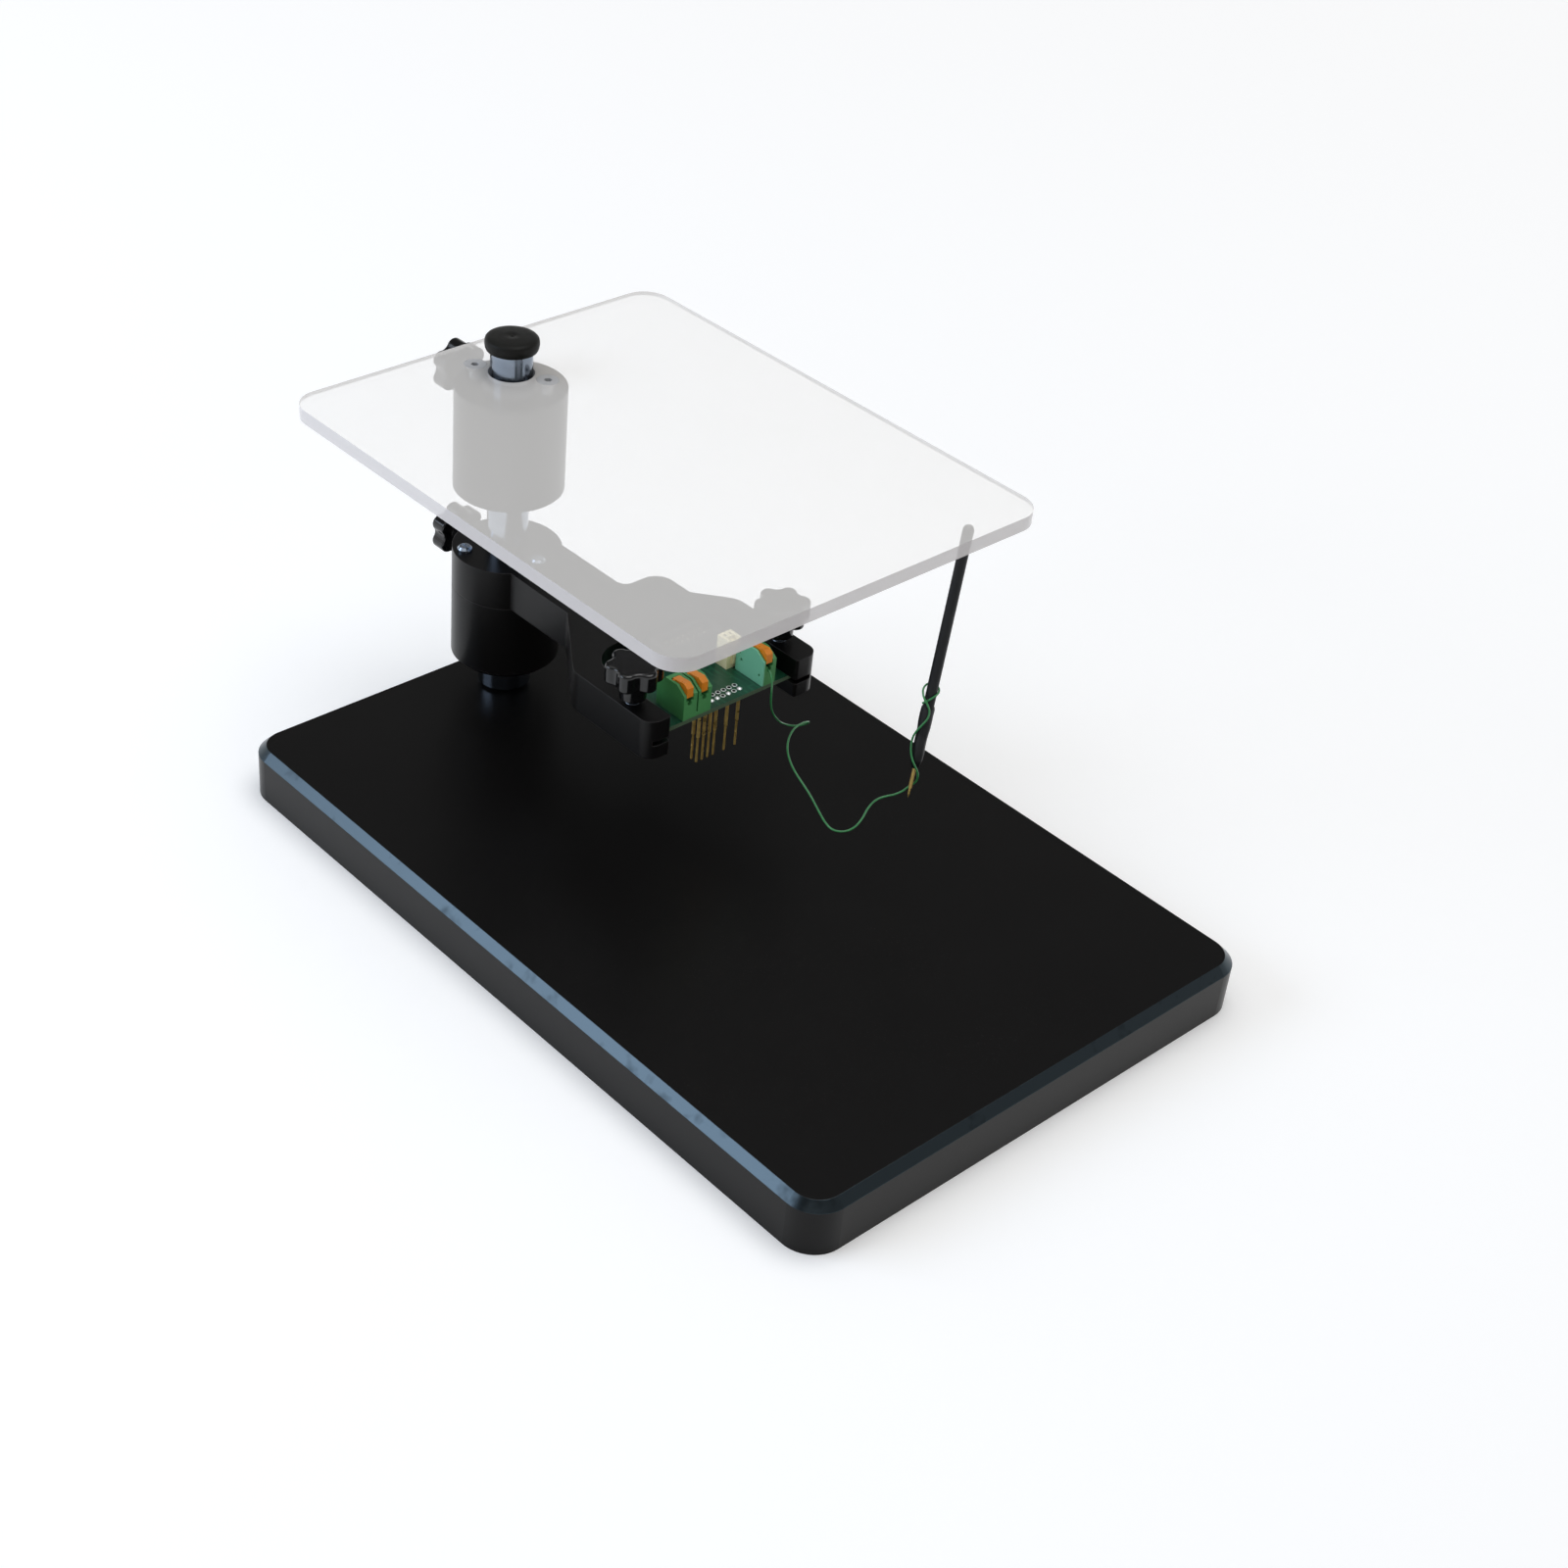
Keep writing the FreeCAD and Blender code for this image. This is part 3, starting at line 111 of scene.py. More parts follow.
# Route of the free wire to where it comes to the probe, counted from the mouth of the
# terminal's wire hole
LEAD_ROUTE = (
    (-0.0030, 0.0000, 0.0000), (0.0006, -0.0001, -0.0002),
    (0.0034, -0.0013, -0.0024), (0.0044, -0.0022, -0.0066),
    (0.0038, -0.0014, -0.0118), (0.0029, 0.0008, -0.0170),
    (0.0016, 0.0044, -0.0216), (0.0000, 0.0082, -0.0256),
    (-0.0009, 0.0120, -0.0286), (0.0002, 0.0159, -0.0302),
    (0.0035, 0.0183, -0.0283), (0.0061, 0.0165, -0.0251),
    (0.0068, 0.0122, -0.0236), (0.0081, 0.0068, -0.0230),
    (0.0110, 0.0016, -0.0236), (0.0152, -0.0028, -0.0244),
    (0.0206, -0.0062, -0.0250), (0.0260, -0.0082, -0.0260),
    (0.0314, -0.0092, -0.0274), (0.0364, -0.0104, -0.0288),
    (0.0416, -0.0122, -0.0300), (0.0470, -0.0144, -0.0306),
    (0.0518, -0.0154, -0.0309), (0.0550, -0.0126, -0.0310),
    (0.0552, -0.0078, -0.0310), (0.0532, -0.0026, -0.0310),
    (0.0502, 0.0026, -0.0310), (0.0483, 0.0076, -0.0309),
    (0.0486, 0.0114, -0.0304), (0.0509, 0.0145, -0.02956),
)

# Route of the wire that is held on the probe: height along the probe's axis from the
# needle's point and distance from the axis, in millimetres, with the turn about it between
PROBE_WIRE_ROUTE = (
    (0.35, 228.0, 4.95), (1.6, 216.0, 2.3), (3.4, 152.0, 1.7),
    (5.6, 75.0, 1.7), (8.2, 28.0, 1.9), (10.8, 348.0, 2.1),
    (13.4, 305.0, 2.7), (16.2, 268.0, 3.0), (19.2, 238.0, 3.0),
    (22.4, 236.0, 3.1), (25.6, 262.0, 3.0), (28.6, 296.0, 3.1),
    (31.4, 322.0, 3.2), (34.2, 322.0, 3.3), (36.6, 298.0, 3.5),
    (38.4, 266.0, 3.5), (40.2, 228.0, 3.2), (41.6, 184.0, 2.8),
    (42.0, 138.0, 2.6), (41.6, 94.0, 2.5), (40.8, 50.0, 2.5),
    (39.8, 6.0, 2.5), (38.6, 322.0, 2.5), (36.8, 282.0, 2.5),
    (35.8, 254.0, 2.7),
)

# Turn of the camera about X, Y and Z, in degrees
CAMERA_DEGREES = (53.649, -3.641, 48.993)

# Brightness of the sky by height, from the horizon, 0, to straight up, 1
SKY_LEVELS = ((0.18, 1.0), (0.34, 0.30), (0.50, 0.16), (0.72, 0.12), (0.84, 0.9))

# Distances between which the floor's glow grows, in metres, and by how much it grows
FLOOR_GLOW_REACH = (0.35, 2.2)
FLOOR_GLOW_GAIN = 0.36

# How many times lighter the black is painted at the edges, a painted highlight, and the colours
# of the dust and of the board's woven core
EDGE_HIGHLIGHT_SHARE = 7.0
DUST_GREY = tint("8C8A84")
BARE_CORE = tint("4C5D49")

# Roughness of the large anodised faces. Below about 0.275 the denoiser leaves blotches on them.
SATIN = (0.279, 0.297)


# Sizes and colours that a user would change

def colour_setting(name, description, default):
    """A colour that a user can change."""
    return FloatVectorProperty(name=name, description=description, default=default,
                               subtype="COLOR", min=0, max=1)


def length_setting(name, description, default):
    """A length that a user can change, in metres."""
    return FloatProperty(name=name, description=description, default=default, unit="LENGTH")


def light_setting(name, description, default):
    """An amount of light that a user can change."""
    return FloatProperty(name=name, description=description, default=default, min=0)


class StageSettings(bpy.types.PropertyGroup):
    """Camera, lamps and floor."""

    lens: FloatProperty(name="Lens", description="Focal length on a 36 mm sensor",
                        default=58.39, min=20, unit="CAMERA")
    camera_place: FloatVectorProperty(name="Camera place", description="Where the camera stands",
                                      default=(0.49978, -0.49795, 0.55141), subtype="XYZ",
                                      unit="LENGTH")
    camera_turn: FloatVectorProperty(name="Camera turn", description="How the camera is turned",
                                     default=[math.radians(turn) for turn in CAMERA_DEGREES],
                                     subtype="EULER")
    shift: FloatVectorProperty(name="Shift", description="Sideways and upward shift of the frame",
                               default=(0.0609, 0.0156), size=2)
    floor_colour: colour_setting("Floor colour", "Colour of the floor", tint("FBFBFB"))
    sky_level: light_setting("Sky level", "Light from all round", 1.0)
    window_power: light_setting("Window power", "Power of the side lamp in watts", 8.4)
    window_colour: colour_setting("Window colour", "Colour of the side lamp", tint("DCEBFF"))
    top_power: light_setting("Top power", "Power of the lamp overhead in watts", 6.0)
    floor_glow: light_setting("Floor glow", "What makes the seen floor white", 0.13)


class FinishSettings(bpy.types.PropertyGroup):
    """Colours of the finishes, as they are seen."""

    anodised: colour_setting("Anodised black", "Black anodised aluminium", tint("0C0B0B"))
    steel: colour_setting("Steel", "Polished steel of column and screws", tint("8E98A5"))
    knob_black: colour_setting("Knob black", "Moulded black of the knobs", tint("0B0B0C"))
    cap_black: colour_setting("Cap black", "Dull black of the column's cap", tint("151513"))
    bush_grey: colour_setting("Bush grey", "Plain bushes in the hubs", tint("3A3A3C"))
    chamfer: colour_setting("Chamfer", "Machined chamfer of the base", (0.056, 0.074, 0.086))
    # The near-white veil on the clear plate's faces is a painted reflection; the plate itself is
    # clear.
    plate_sheen_colour: colour_setting("Plate face", "Milky faces of the clear plate", tint("FDFAF6"))
    plate_edge: colour_setting("Plate edge", "Sawn edges of the clear plate", tint("D5D1D1"))
    plate_sheen: FloatProperty(name="Plate veil", description="How milky the plate's top face is",
                              default=0.5, min=0, max=1, subtype="FACTOR")
    board_green: colour_setting("Board green", "Lacquer of the circuit board", tint("15432F"))
    terminal_green: colour_setting("Terminal green", "Terminal blocks", tint("478A50"))
    cover_green: colour_setting("Cover green", "End cover of the terminal", tint("6FB796"))
    lever_orange: colour_setting("Lever orange", "Levers of the terminals", tint("D8801B"))
    cream: colour_setting("Cream", "Two-pin housing", tint("E6DCAE"))
    gold: colour_setting("Gold", "Plating of the pins", tint("D9B96C"))
    solder: colour_setting("Solder", "Tinned rings and solder", tint("E8EAEB"))
    wire_green: colour_setting("Wire green", "Skin of the thin wire", tint("2B7E44"))
    probe_black: colour_setting("Probe black", "Handle of the probe", tint("111215"))
    sleeve_black: colour_setting("Sleeve black", "Shrunk sleeve of the probe", tint("0F1012"))


class PieceSettings(bpy.types.PropertyGroup):
    """Sizes of the pieces that are made here."""

    wire_diameter: length_setting("Wire diameter", "Thickness of the green wire", 0.7 * MM)
    ring_radius: length_setting("Ring radius", "Outer radius of a tinned ring", 1.0 * MM)
    ring_hole: length_setting("Ring hole", "Radius of a ring's hole", 0.62 * MM)
    ring_thick: length_setting("Ring thickness", "How far a ring stands proud", 0.06 * MM)
    header_pin_width: length_setting("Header pin width", "Width of a square pin", 0.64 * MM)
    cap_segments: IntProperty(name="Cap segments", description="Steps round the column's cap",
                              default=64, min=16)
    sleeve_segments: IntProperty(name="Sleeve segments", description="Steps round the sleeve",
                                 default=48, min=16)
    sleeve_creases: length_setting("Sleeve creases", "Depth of the sleeve's creases", 0.34 * MM)


# Helpers for modelling

def deselect():
    """Leave edit mode and select nothing."""
    if bpy.context.object and bpy.context.object.mode != "OBJECT":
        bpy.ops.object.mode_set(mode="OBJECT")
    bpy.ops.object.select_all(action="DESELECT")


def start_piece(add, name, **place):
    """Add a primitive with nothing else selected and name it."""
    deselect()
    add(**place)
    piece = bpy.context.active_object
    piece.name = piece.data.name = name
    return piece


def only(piece):
    """Select one piece alone and make it active."""
    deselect()
    piece.select_set(True)
    bpy.context.view_layer.objects.active = piece


def pick_end(piece, side):
    """In edit mode, select the faces that look up where side is 1, or down where it is -1."""
    mesh = bmesh.from_edit_mesh(piece.data)
    bpy.ops.mesh.select_all(action="DESELECT")
    for face in mesh.faces:
        face.select_set(face.normal.z * side > 0.9)
    mesh.select_flush_mode()
    bmesh.update_edit_mesh(piece.data)


def settle(piece, matrix=None):
    """Put a piece in place and write its place into its mesh."""
    if matrix is not None:
        piece.matrix_world = matrix @ piece.matrix_world
    only(piece)
    bpy.ops.object.transform_apply(location=True, rotation=True, scale=True)
    return piece


def close_up(piece, smooth_angle=35):
    """Merge doubles, turn all faces outwards and shade the soft edges smooth."""
    only(piece)
    bpy.ops.object.mode_set(mode="EDIT")
    bpy.ops.mesh.select_all(action="SELECT")
    bpy.ops.mesh.remove_doubles(threshold=1e-7)
    bpy.ops.mesh.normals_make_consistent(inside=False)
    bpy.ops.object.mode_set(mode="OBJECT")
    bpy.ops.object.shade_smooth_by_angle(angle=math.radians(smooth_angle))
    return piece


def turned(name, profile, segments):
    """A turned shape about Z: a disc is extruded and resized from each profile point to the next."""
    radius, height = profile[0]
    piece = start_piece(bpy.ops.mesh.primitive_circle_add, name, vertices=segments,
                        radius=radius, fill_type="NGON", location=(0, 0, height))
    settle(piece)
    bpy.ops.object.mode_set(mode="EDIT")
    bpy.ops.mesh.select_mode(type="FACE")
    bpy.ops.mesh.select_all(action="SELECT")
    for (radius, height), (next_radius, next_height) in zip(profile, profile[1:]):
        bpy.ops.mesh.extrude_region_move(
            TRANSFORM_OT_translate={"value": (0, 0, next_height - height)})
        share = next_radius / radius
        bpy.ops.transform.resize(value=(share, share, 1), center_override=(0, 0, next_height))
    bpy.ops.object.mode_set(mode="OBJECT")
    return close_up(piece)


def copies(pattern, name, places):
    """Copy a piece to each place, each copy with its own mesh, and join them into one piece."""
    made = []
    for place in places:
        copy = pattern.copy()
        copy.data = pattern.data.copy()
        bpy.context.collection.objects.link(copy)
        copy.matrix_world = Matrix.Translation(place)
        made.append(copy)
    bpy.data.objects.remove(pattern)
    only(made[0])
    for copy in made:
        copy.select_set(True)
    bpy.ops.object.join()
    made[0].name = made[0].data.name = name
    return settle(made[0])


def apply_modifier(piece, kind, **settings):
    """Add a modifier to a piece, set it up and write what it does into the mesh."""
    modifier = piece.modifiers.new(kind.lower(), kind)
    for name, value in settings.items():
        setattr(modifier, name, value)
    only(piece)
    bpy.ops.object.modifier_apply(modifier=modifier.name)


def give(piece, material):
    """Let a piece wear one material all over."""
    piece.data.materials.clear()
    piece.data.materials.append(material)


def dress(material, *nodes):
    """Give the nodes of the frame a material in place of their plain one."""
    for name in nodes:
        give(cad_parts[name], material)


# Helpers for materials

def feed(tree, socket, value):
    """Join another node's output to a socket, or give the socket a plain value or colour."""
    if isinstance(value, bpy.types.NodeSocket):
        tree.links.new(value, socket)
    elif socket.type == "RGBA":
        socket.default_value = (*value, 1)
    else:
        socket.default_value = value


def add_node(tree, kind, inputs=None, **settings):
    """Add a shader node, set it up, feed its inputs and return its outputs."""
    made = tree.nodes.new("ShaderNode" + kind)
    for name, value in settings.items():
        setattr(made, name, value)
    for name, value in (inputs or {}).items():
        feed(tree, made.inputs[name], value)
    return made.outputs


def spread(tree, reading, start, end, low=0.0, high=1.0):
    """Run from a low to a high value while a reading goes from its start to its end."""
    return add_node(tree, "MapRange", {"Value": reading, "From Min": start, "From Max": end,
                                       "To Min": low, "To Max": high})["Result"]


def maths(tree, operation, *readings):
    """Work out one number from one or two others."""
    return add_node(tree, "Math", dict(enumerate(readings)), operation=operation)["Value"]


def product(tree, first, *others):
    """Multiply readings by each other."""
    for other in others:
        first = maths(tree, "MULTIPLY", first, other)
    return first


def blend(tree, share, first, second, kind="RGBA"):
    """Run from one colour or number to another by a mask."""
    return add_node(tree, "Mix", {"Factor": share, "A": first, "B": second},
                    data_type=kind)["Result"]


def noise(tree, place, scale, detail, roughness=0.5):
    """A cloudy texture."""
    return add_node(tree, "TexNoise", {"Vector": place, "Scale": scale, "Detail": detail,
                                       "Roughness": roughness})["Fac"]


def upward(tree, vector):
    """The part of a vector that points up."""
    return add_node(tree, "SeparateXYZ", {"Vector": vector})["Z"]


def sides(tree, normal, start, end):
    """A mask that comes up where a face turns from level to upright."""
    return spread(tree, maths(tree, "ABSOLUTE", upward(tree, normal)), start, end)


def start_group(name, entries):
    """A shader group and what its named number inputs hold, or None where it is built already."""
    if name in bpy.data.node_groups:
        return bpy.data.node_groups[name], None
    tree = bpy.data.node_groups.new(name, "ShaderNodeTree")
    for label, value in entries.items():
        socket = tree.interface.new_socket(name=label, in_out="INPUT",
                                           socket_type="NodeSocketFloat")
        socket.default_value = value
    return tree, tree.nodes.new("NodeGroupInput").outputs


def end_group(tree, **results):
    """Give a shader group its named outputs."""
    for label, source in results.items():
        kind = "NodeSocketVector" if source.type == "VECTOR" else "NodeSocketFloat"
        tree.interface.new_socket(name=label, in_out="OUTPUT", socket_type=kind)
    outputs = tree.nodes.new("NodeGroupOutput").inputs
    for label, source in results.items():
        feed(tree, outputs[label], source)


def soft_edge_group():
    """Rounds the shading at edges, and says where the edges are."""
    tree, entry = start_group("soft edge", {"Radius": 0.4 * MM})
    if entry:
        rounded = add_node(tree, "Bevel", {"Radius": entry["Radius"]}, samples=6)["Normal"]
        real = add_node(tree, "NewGeometry")["Normal"]
        likeness = add_node(tree, "VectorMath", {0: rounded, 1: real},
                            operation="DOT_PRODUCT")["Value"]
        end_group(tree, Normal=rounded, Edge=spread(tree, likeness, 0.995, 0.80))
    return tree


def grain_group():
    """Fine grain for a bump, and a slow mottle for colour and roughness."""
    tree, entry = start_group("fine grain", {"Grain Scale": 3000.0, "Mottle Scale": 60.0})
    if entry:
        place = add_node(tree, "TexCoord")["Object"]
        end_group(tree, Height=noise(tree, place, entry["Grain Scale"], 2.0),
                  Mottle=noise(tree, place, entry["Mottle Scale"], 4.0, 0.6))
    return tree


def lathe_group():
    """Fine rings round an upright axis, as a lathe or a polishing belt leaves them."""
    tree, entry = start_group("lathe rings", {"Ring Scale": 900.0})
    if entry:
        place = add_node(tree, "TexCoord")["Object"]
        drawn_round = add_node(tree, "VectorMath", {0: place, 1: (0.02, 0.02, 1.0)},
                               operation="MULTIPLY")["Vector"]
        end_group(tree, Height=noise(tree, drawn_round, entry["Ring Scale"], 3.0, 0.7))
    return tree


def dust_group():
    """Sparse pale specks that lie on upward faces."""
    tree, entry = start_group("dust", {"Scale": 900.0, "Amount": 0.3})
    if entry:
        place = add_node(tree, "TexCoord")["Object"]
        specks = add_node(tree, "TexVoronoi", {"Vector": place, "Scale": entry["Scale"]})
        spots = spread(tree, specks["Distance"], 0.16, 0.05)
        patches = spread(tree, noise(tree, place, 25.0, 3.0), 0.45, 0.75)
        level = spread(tree, upward(tree, add_node(tree, "NewGeometry")["Normal"]), 0.6, 0.95)
        end_group(tree, Mask=product(tree, spots, patches, level, entry["Amount"]))
    return tree


def use_group(tree, group, **values):
    """Place a shader group, with its inputs named in lower case with underscores."""
    inputs = {name.replace("_", " ").title(): value for name, value in values.items()}
    return add_node(tree, "Group", inputs, node_tree=group)


def new_material(name, **shader_values):
    """A material and its shader's sockets, which hold its plain values."""
    material = bpy.data.materials.new(name)
    material.use_nodes = True
    tree = material.node_tree
    shader = tree.nodes["Principled BSDF"].inputs
    for label, value in shader_values.items():
        feed(tree, shader[label.replace("_", " ").title().replace("Ior", "IOR")], value)
    return material, tree, shader


def scaled(colour, share):
    """A colour made lighter or darker, up to white."""
    return tuple(min(1.0, value * share) for value in colour)


def paint(tree, shader, share, first, second):
    """Base Color runs from one colour to another by a mask."""
    feed(tree, shader["Base Color"], blend(tree, share, first, second))


def roughened(tree, shader, texture, low, high):
    """Roughness runs between two values with a texture."""
    feed(tree, shader["Roughness"], spread(tree, texture, 0.3, 0.7, low, high))


def bumped(tree, shader, height, depth, normal=None, strength=1.0):
    """A height drives the shading's relief, over rounded edges where they are given."""
    inputs = {"Strength": strength, "Distance": depth, "Height": height}
    if normal:
        inputs["Normal"] = normal
    feed(tree, shader["Normal"], add_node(tree, "Bump", inputs)["Normal"])


def grained(tree, shader, grain_scale, mottle_scale, roughness, depth, normal=None):
    """Give a surface fine grain and uneven roughness, and return the mottle for its colour."""
    grain = use_group(tree, grain_group(), grain_scale=grain_scale, mottle_scale=mottle_scale)
    roughened(tree, shader, grain["Mottle"], *roughness)
    bumped(tree, shader, grain["Height"], depth, normal)
    return grain["Mottle"]


# Finishes

def anodised_finish(name, colour, edge_radius, grain_scale, dust_amount, specular, roughness,
                    chamfer=None):
    """Black anodised aluminium with edges painted lighter as a painted highlight, fine blasted grain
    and a little dust.
    """
    material, tree, shader = new_material(name, specular_ior_level=specular)
    edge = use_group(tree, soft_edge_group(), radius=edge_radius)
    dust = use_group(tree, dust_group(), amount=dust_amount)
    # Edges painted lighter: a painted highlight in place of the lamp's reflection along them.
    face = blend(tree, edge["Edge"], colour, scaled(colour, EDGE_HIGHLIGHT_SHARE))
    face = blend(tree, dust["Mask"], face, DUST_GREY)
    if chamfer:
        face = bright_chamfer(tree, shader, face, chamfer)
    feed(tree, shader["Base Color"], face)
    grained(tree, shader, grain_scale, 35.0, roughness, 0.01 * MM, edge["Normal"])
    return material


def bright_chamfer(tree, shader, face, colour):
    """Where a face leans halfway over, it is bare machined metal, with a few dark rubs."""
    place = add_node(tree, "TexCoord")
    up = upward(tree, place["Normal"])
    leaning = product(tree, spread(tree, up, 0.92, 0.85), spread(tree, up, 0.45, 0.55))
    rubs = spread(tree, noise(tree, place["Object"], 75.0, 3.0, 0.65), 0.30, 0.44)
    feed(tree, shader["Metallic"], leaning)
    return blend(tree, leaning, face, blend(tree, rubs, scaled(colour, 0.55), colour))


def turned_steel(name, colour, roughness=(0.08, 0.16), ring_depth=0.003 * MM, metallic=1.0):
    """Bright ground steel with faint rings round its axis, darker and rougher in slow random
    patches.
    """
    material, tree, shader = new_material(name, metallic=metallic)
    edge = use_group(tree, soft_edge_group(), radius=0.3 * MM)
    rings = use_group(tree, lathe_group(), ring_scale=2500.0)
    mottle = use_group(tree, grain_group(), mottle_scale=90.0)["Mottle"]
    paint(tree, shader, mottle, colour, scaled(colour, 0.55))
    roughened(tree, shader, mottle, *roughness)
    bumped(tree, shader, rings["Height"], ring_depth, edge["Normal"])
    return material


def threaded_steel(name, colour, axis):
    """Plated steel with thread crests along an axis, and the roots between them painted dark as
    painted shade.
    """
    material, tree, shader = new_material(name, metallic=1.0, roughness=0.28)
    crests = add_node(tree, "TexWave", {"Vector": add_node(tree, "TexCoord")["Object"],
                                        "Scale": 390.0, "Distortion": 0.0},
                      wave_type="BANDS", bands_direction=axis, wave_profile="TRI")["Fac"]
    # The thread roots are painted dark: painted shade in the grooves.
    paint(tree, shader, crests, scaled(colour, 0.35), colour)
    bumped(tree, shader, crests, 0.3 * MM)
    return material


def moulded_plastic(name, colour, roughness, edge_radius=0.3 * MM, grain_depth=0.012 * MM,
                    grain_scale=4000.0, lighter=1.6, specular=0.5):
    """Moulded plastic with soft edges, a fine skin and a colour that is lighter in patches along the
    edges.
    """
    material, tree, shader = new_material(name, specular_ior_level=specular)
    edge = use_group(tree, soft_edge_group(), radius=edge_radius)
    mottle = grained(tree, shader, grain_scale, 220.0, (roughness * 0.85, roughness * 1.2),
                     grain_depth, edge["Normal"])
    paint(tree, shader, product(tree, edge["Edge"], mottle), colour, scaled(colour, lighter))
    return material


def clear_finish(settings, low, top):
    """A clear plate whose top face carries a white veil as a painted reflection, with sawn edges
    that are solid from outside.

    Seen from inside, an edge is clear but for a thin grey line under the plate's top face.
    """
    material, tree, shader = new_material("clear_acrylic", ior=1.49, specular_ior_level=0.35)
    place = add_node(tree, "TexCoord")
    edge = sides(tree, place["Normal"], 0.85, 0.3)
    height = upward(tree, place["Object"])
    # White veil, strongest on the top face: a painted reflection of the bright room.
    face = spread(tree, height, low, top, 0.04, settings.plate_sheen)
    line = spread(tree, height, top - 1.6 * MM, top - 1.3 * MM, 0.03, 0.75)
    inside = add_node(tree, "NewGeometry")["Backfacing"]
    sheen_and_edges = blend(tree, edge, face, blend(tree, inside, 0.86, line, "FLOAT"), "FLOAT")
    rays = add_node(tree, "LightPath")
    in_shadows = spread(tree, rays["Is Shadow Ray"], 0, 1, 1.0, 0.3)
    in_mirrors = spread(tree, rays["Is Glossy Ray"], 0, 1, 1.0, 0.12)
    feed(tree, shader["Alpha"], product(tree, in_shadows, in_mirrors, sheen_and_edges))
    paint(tree, shader, edge, settings.plate_sheen_colour, settings.plate_edge)
    roughened(tree, shader, noise(tree, place["Object"], 9.0, 2.0), 0.03, 0.08)
    saw_marks = use_group(tree, lathe_group(), ring_scale=1800.0)["Height"]
    bumped(tree, shader, saw_marks, 0.008 * MM)
    material.surface_render_method = "BLENDED"
    return material


def board_finish(green):
    """Green lacquer over copper tracks, and bare woven core at the cut edges."""
    material, tree, shader = new_material("circuit_board", roughness=0.28)
    place = add_node(tree, "TexCoord")
    tracks = add_node(tree, "TexBrick",
                      {"Vector": place["Object"], "Color1": green, "Color2": scaled(green, 0.86),
                       "Mortar": scaled(green, 1.5), "Scale": 120.0, "Mortar Size": 0.06,
                       "Mortar Smooth": 0.2, "Bias": 0.0, "Brick Width": 1.9,
                       "Row Height": 0.31})
    pour = spread(tree, noise(tree, place["Object"], 70.0, 1.0), 0.5, 0.53)
    face = blend(tree, pour, green, tracks["Color"])
    paint(tree, shader, sides(tree, place["Normal"], 0.8, 0.4), face, BARE_CORE)
    bumped(tree, shader, tracks["Fac"], 0.03 * MM, strength=0.5)
    return material


def pin_finish(name, colour, tip_height, tip_long):
    """A plated pin whose shank is painted almost black as painted shade, so that only its tip shows
    the plating's colour.
    """
    material, tree, shader = new_material(name, metallic=0.4)
    height = upward(tree, add_node(tree, "TexCoord")["Object"])
    tip = spread(tree, height, tip_height - tip_long, tip_height - tip_long * 0.4)
    # Shank painted almost black: painted shade.
    paint(tree, shader, tip, scaled(colour, 0.12), colour)
    grained(tree, shader, 6000.0, 260.0, (0.22, 0.36), 0.006 * MM)
    return material


def plated_finish(name, colour, roughness, dark, metallic):
    """Thin metal plating, duller in patches."""
    material, tree, shader = new_material(name, metallic=metallic)
    mottle = grained(tree, shader, 6000.0, 260.0, roughness, 0.006 * MM)
    paint(tree, shader, spread(tree, mottle, 0.35, 0.65), scaled(colour, dark), colour)
    return material


def skin_finish(name, colour, roughness):
    """Soft wire insulation with a faint waviness."""
    material, tree, shader = new_material(name, coat_weight=0.25, coat_roughness=0.2)
    mottle = grained(tree, shader, 1800.0, 420.0, (roughness * 0.8, roughness * 1.2), 0.01 * MM)
    paint(tree, shader, mottle, scaled(colour, 0.8), scaled(colour, 1.15))
    return material


# Operators, one for each piece or group of like pieces

class FRAME_OT_base(bpy.types.Operator):
    """Finish the base plate in black anodised aluminium"""

    bl_idname = "frame.base"
    bl_label = "Base Plate"

    def execute(self, context):
        finish = context.scene.frame_finishes
        dress(anodised_finish("anodised_base", finish.anodised, edge_radius=0.3 * MM,
                              grain_scale=2600.0, dust_amount=0.12, specular=0.17,
                              roughness=SATIN, chamfer=finish.chamfer), "base_plate")
        return {"FINISHED"}


class FRAME_OT_column(bpy.types.Operator):
    """Finish the column, its foot ring and the screws"""

    bl_idname = "frame.column"
    bl_label = "Column"

    def execute(self, context):
        finish = context.scene.frame_finishes
        dress(turned_steel("steel_column", finish.steel), "column")
        dress(turned_steel("chromed_ring", scaled(finish.steel, 1.4), (0.03, 0.07), 0.001 * MM),
              "foot_ring")
        dress(turned_steel("steel_screw", scaled(finish.steel, 1.7), (0.22, 0.36), 0.004 * MM),
              "column_screw", "arm_screws")
        dress(turned_steel("plated_screw", tint("D4D5D7"), (0.35, 0.5), 0.004 * MM,
                           metallic=0.3), "plate_screws")
        return {"FINISHED"}


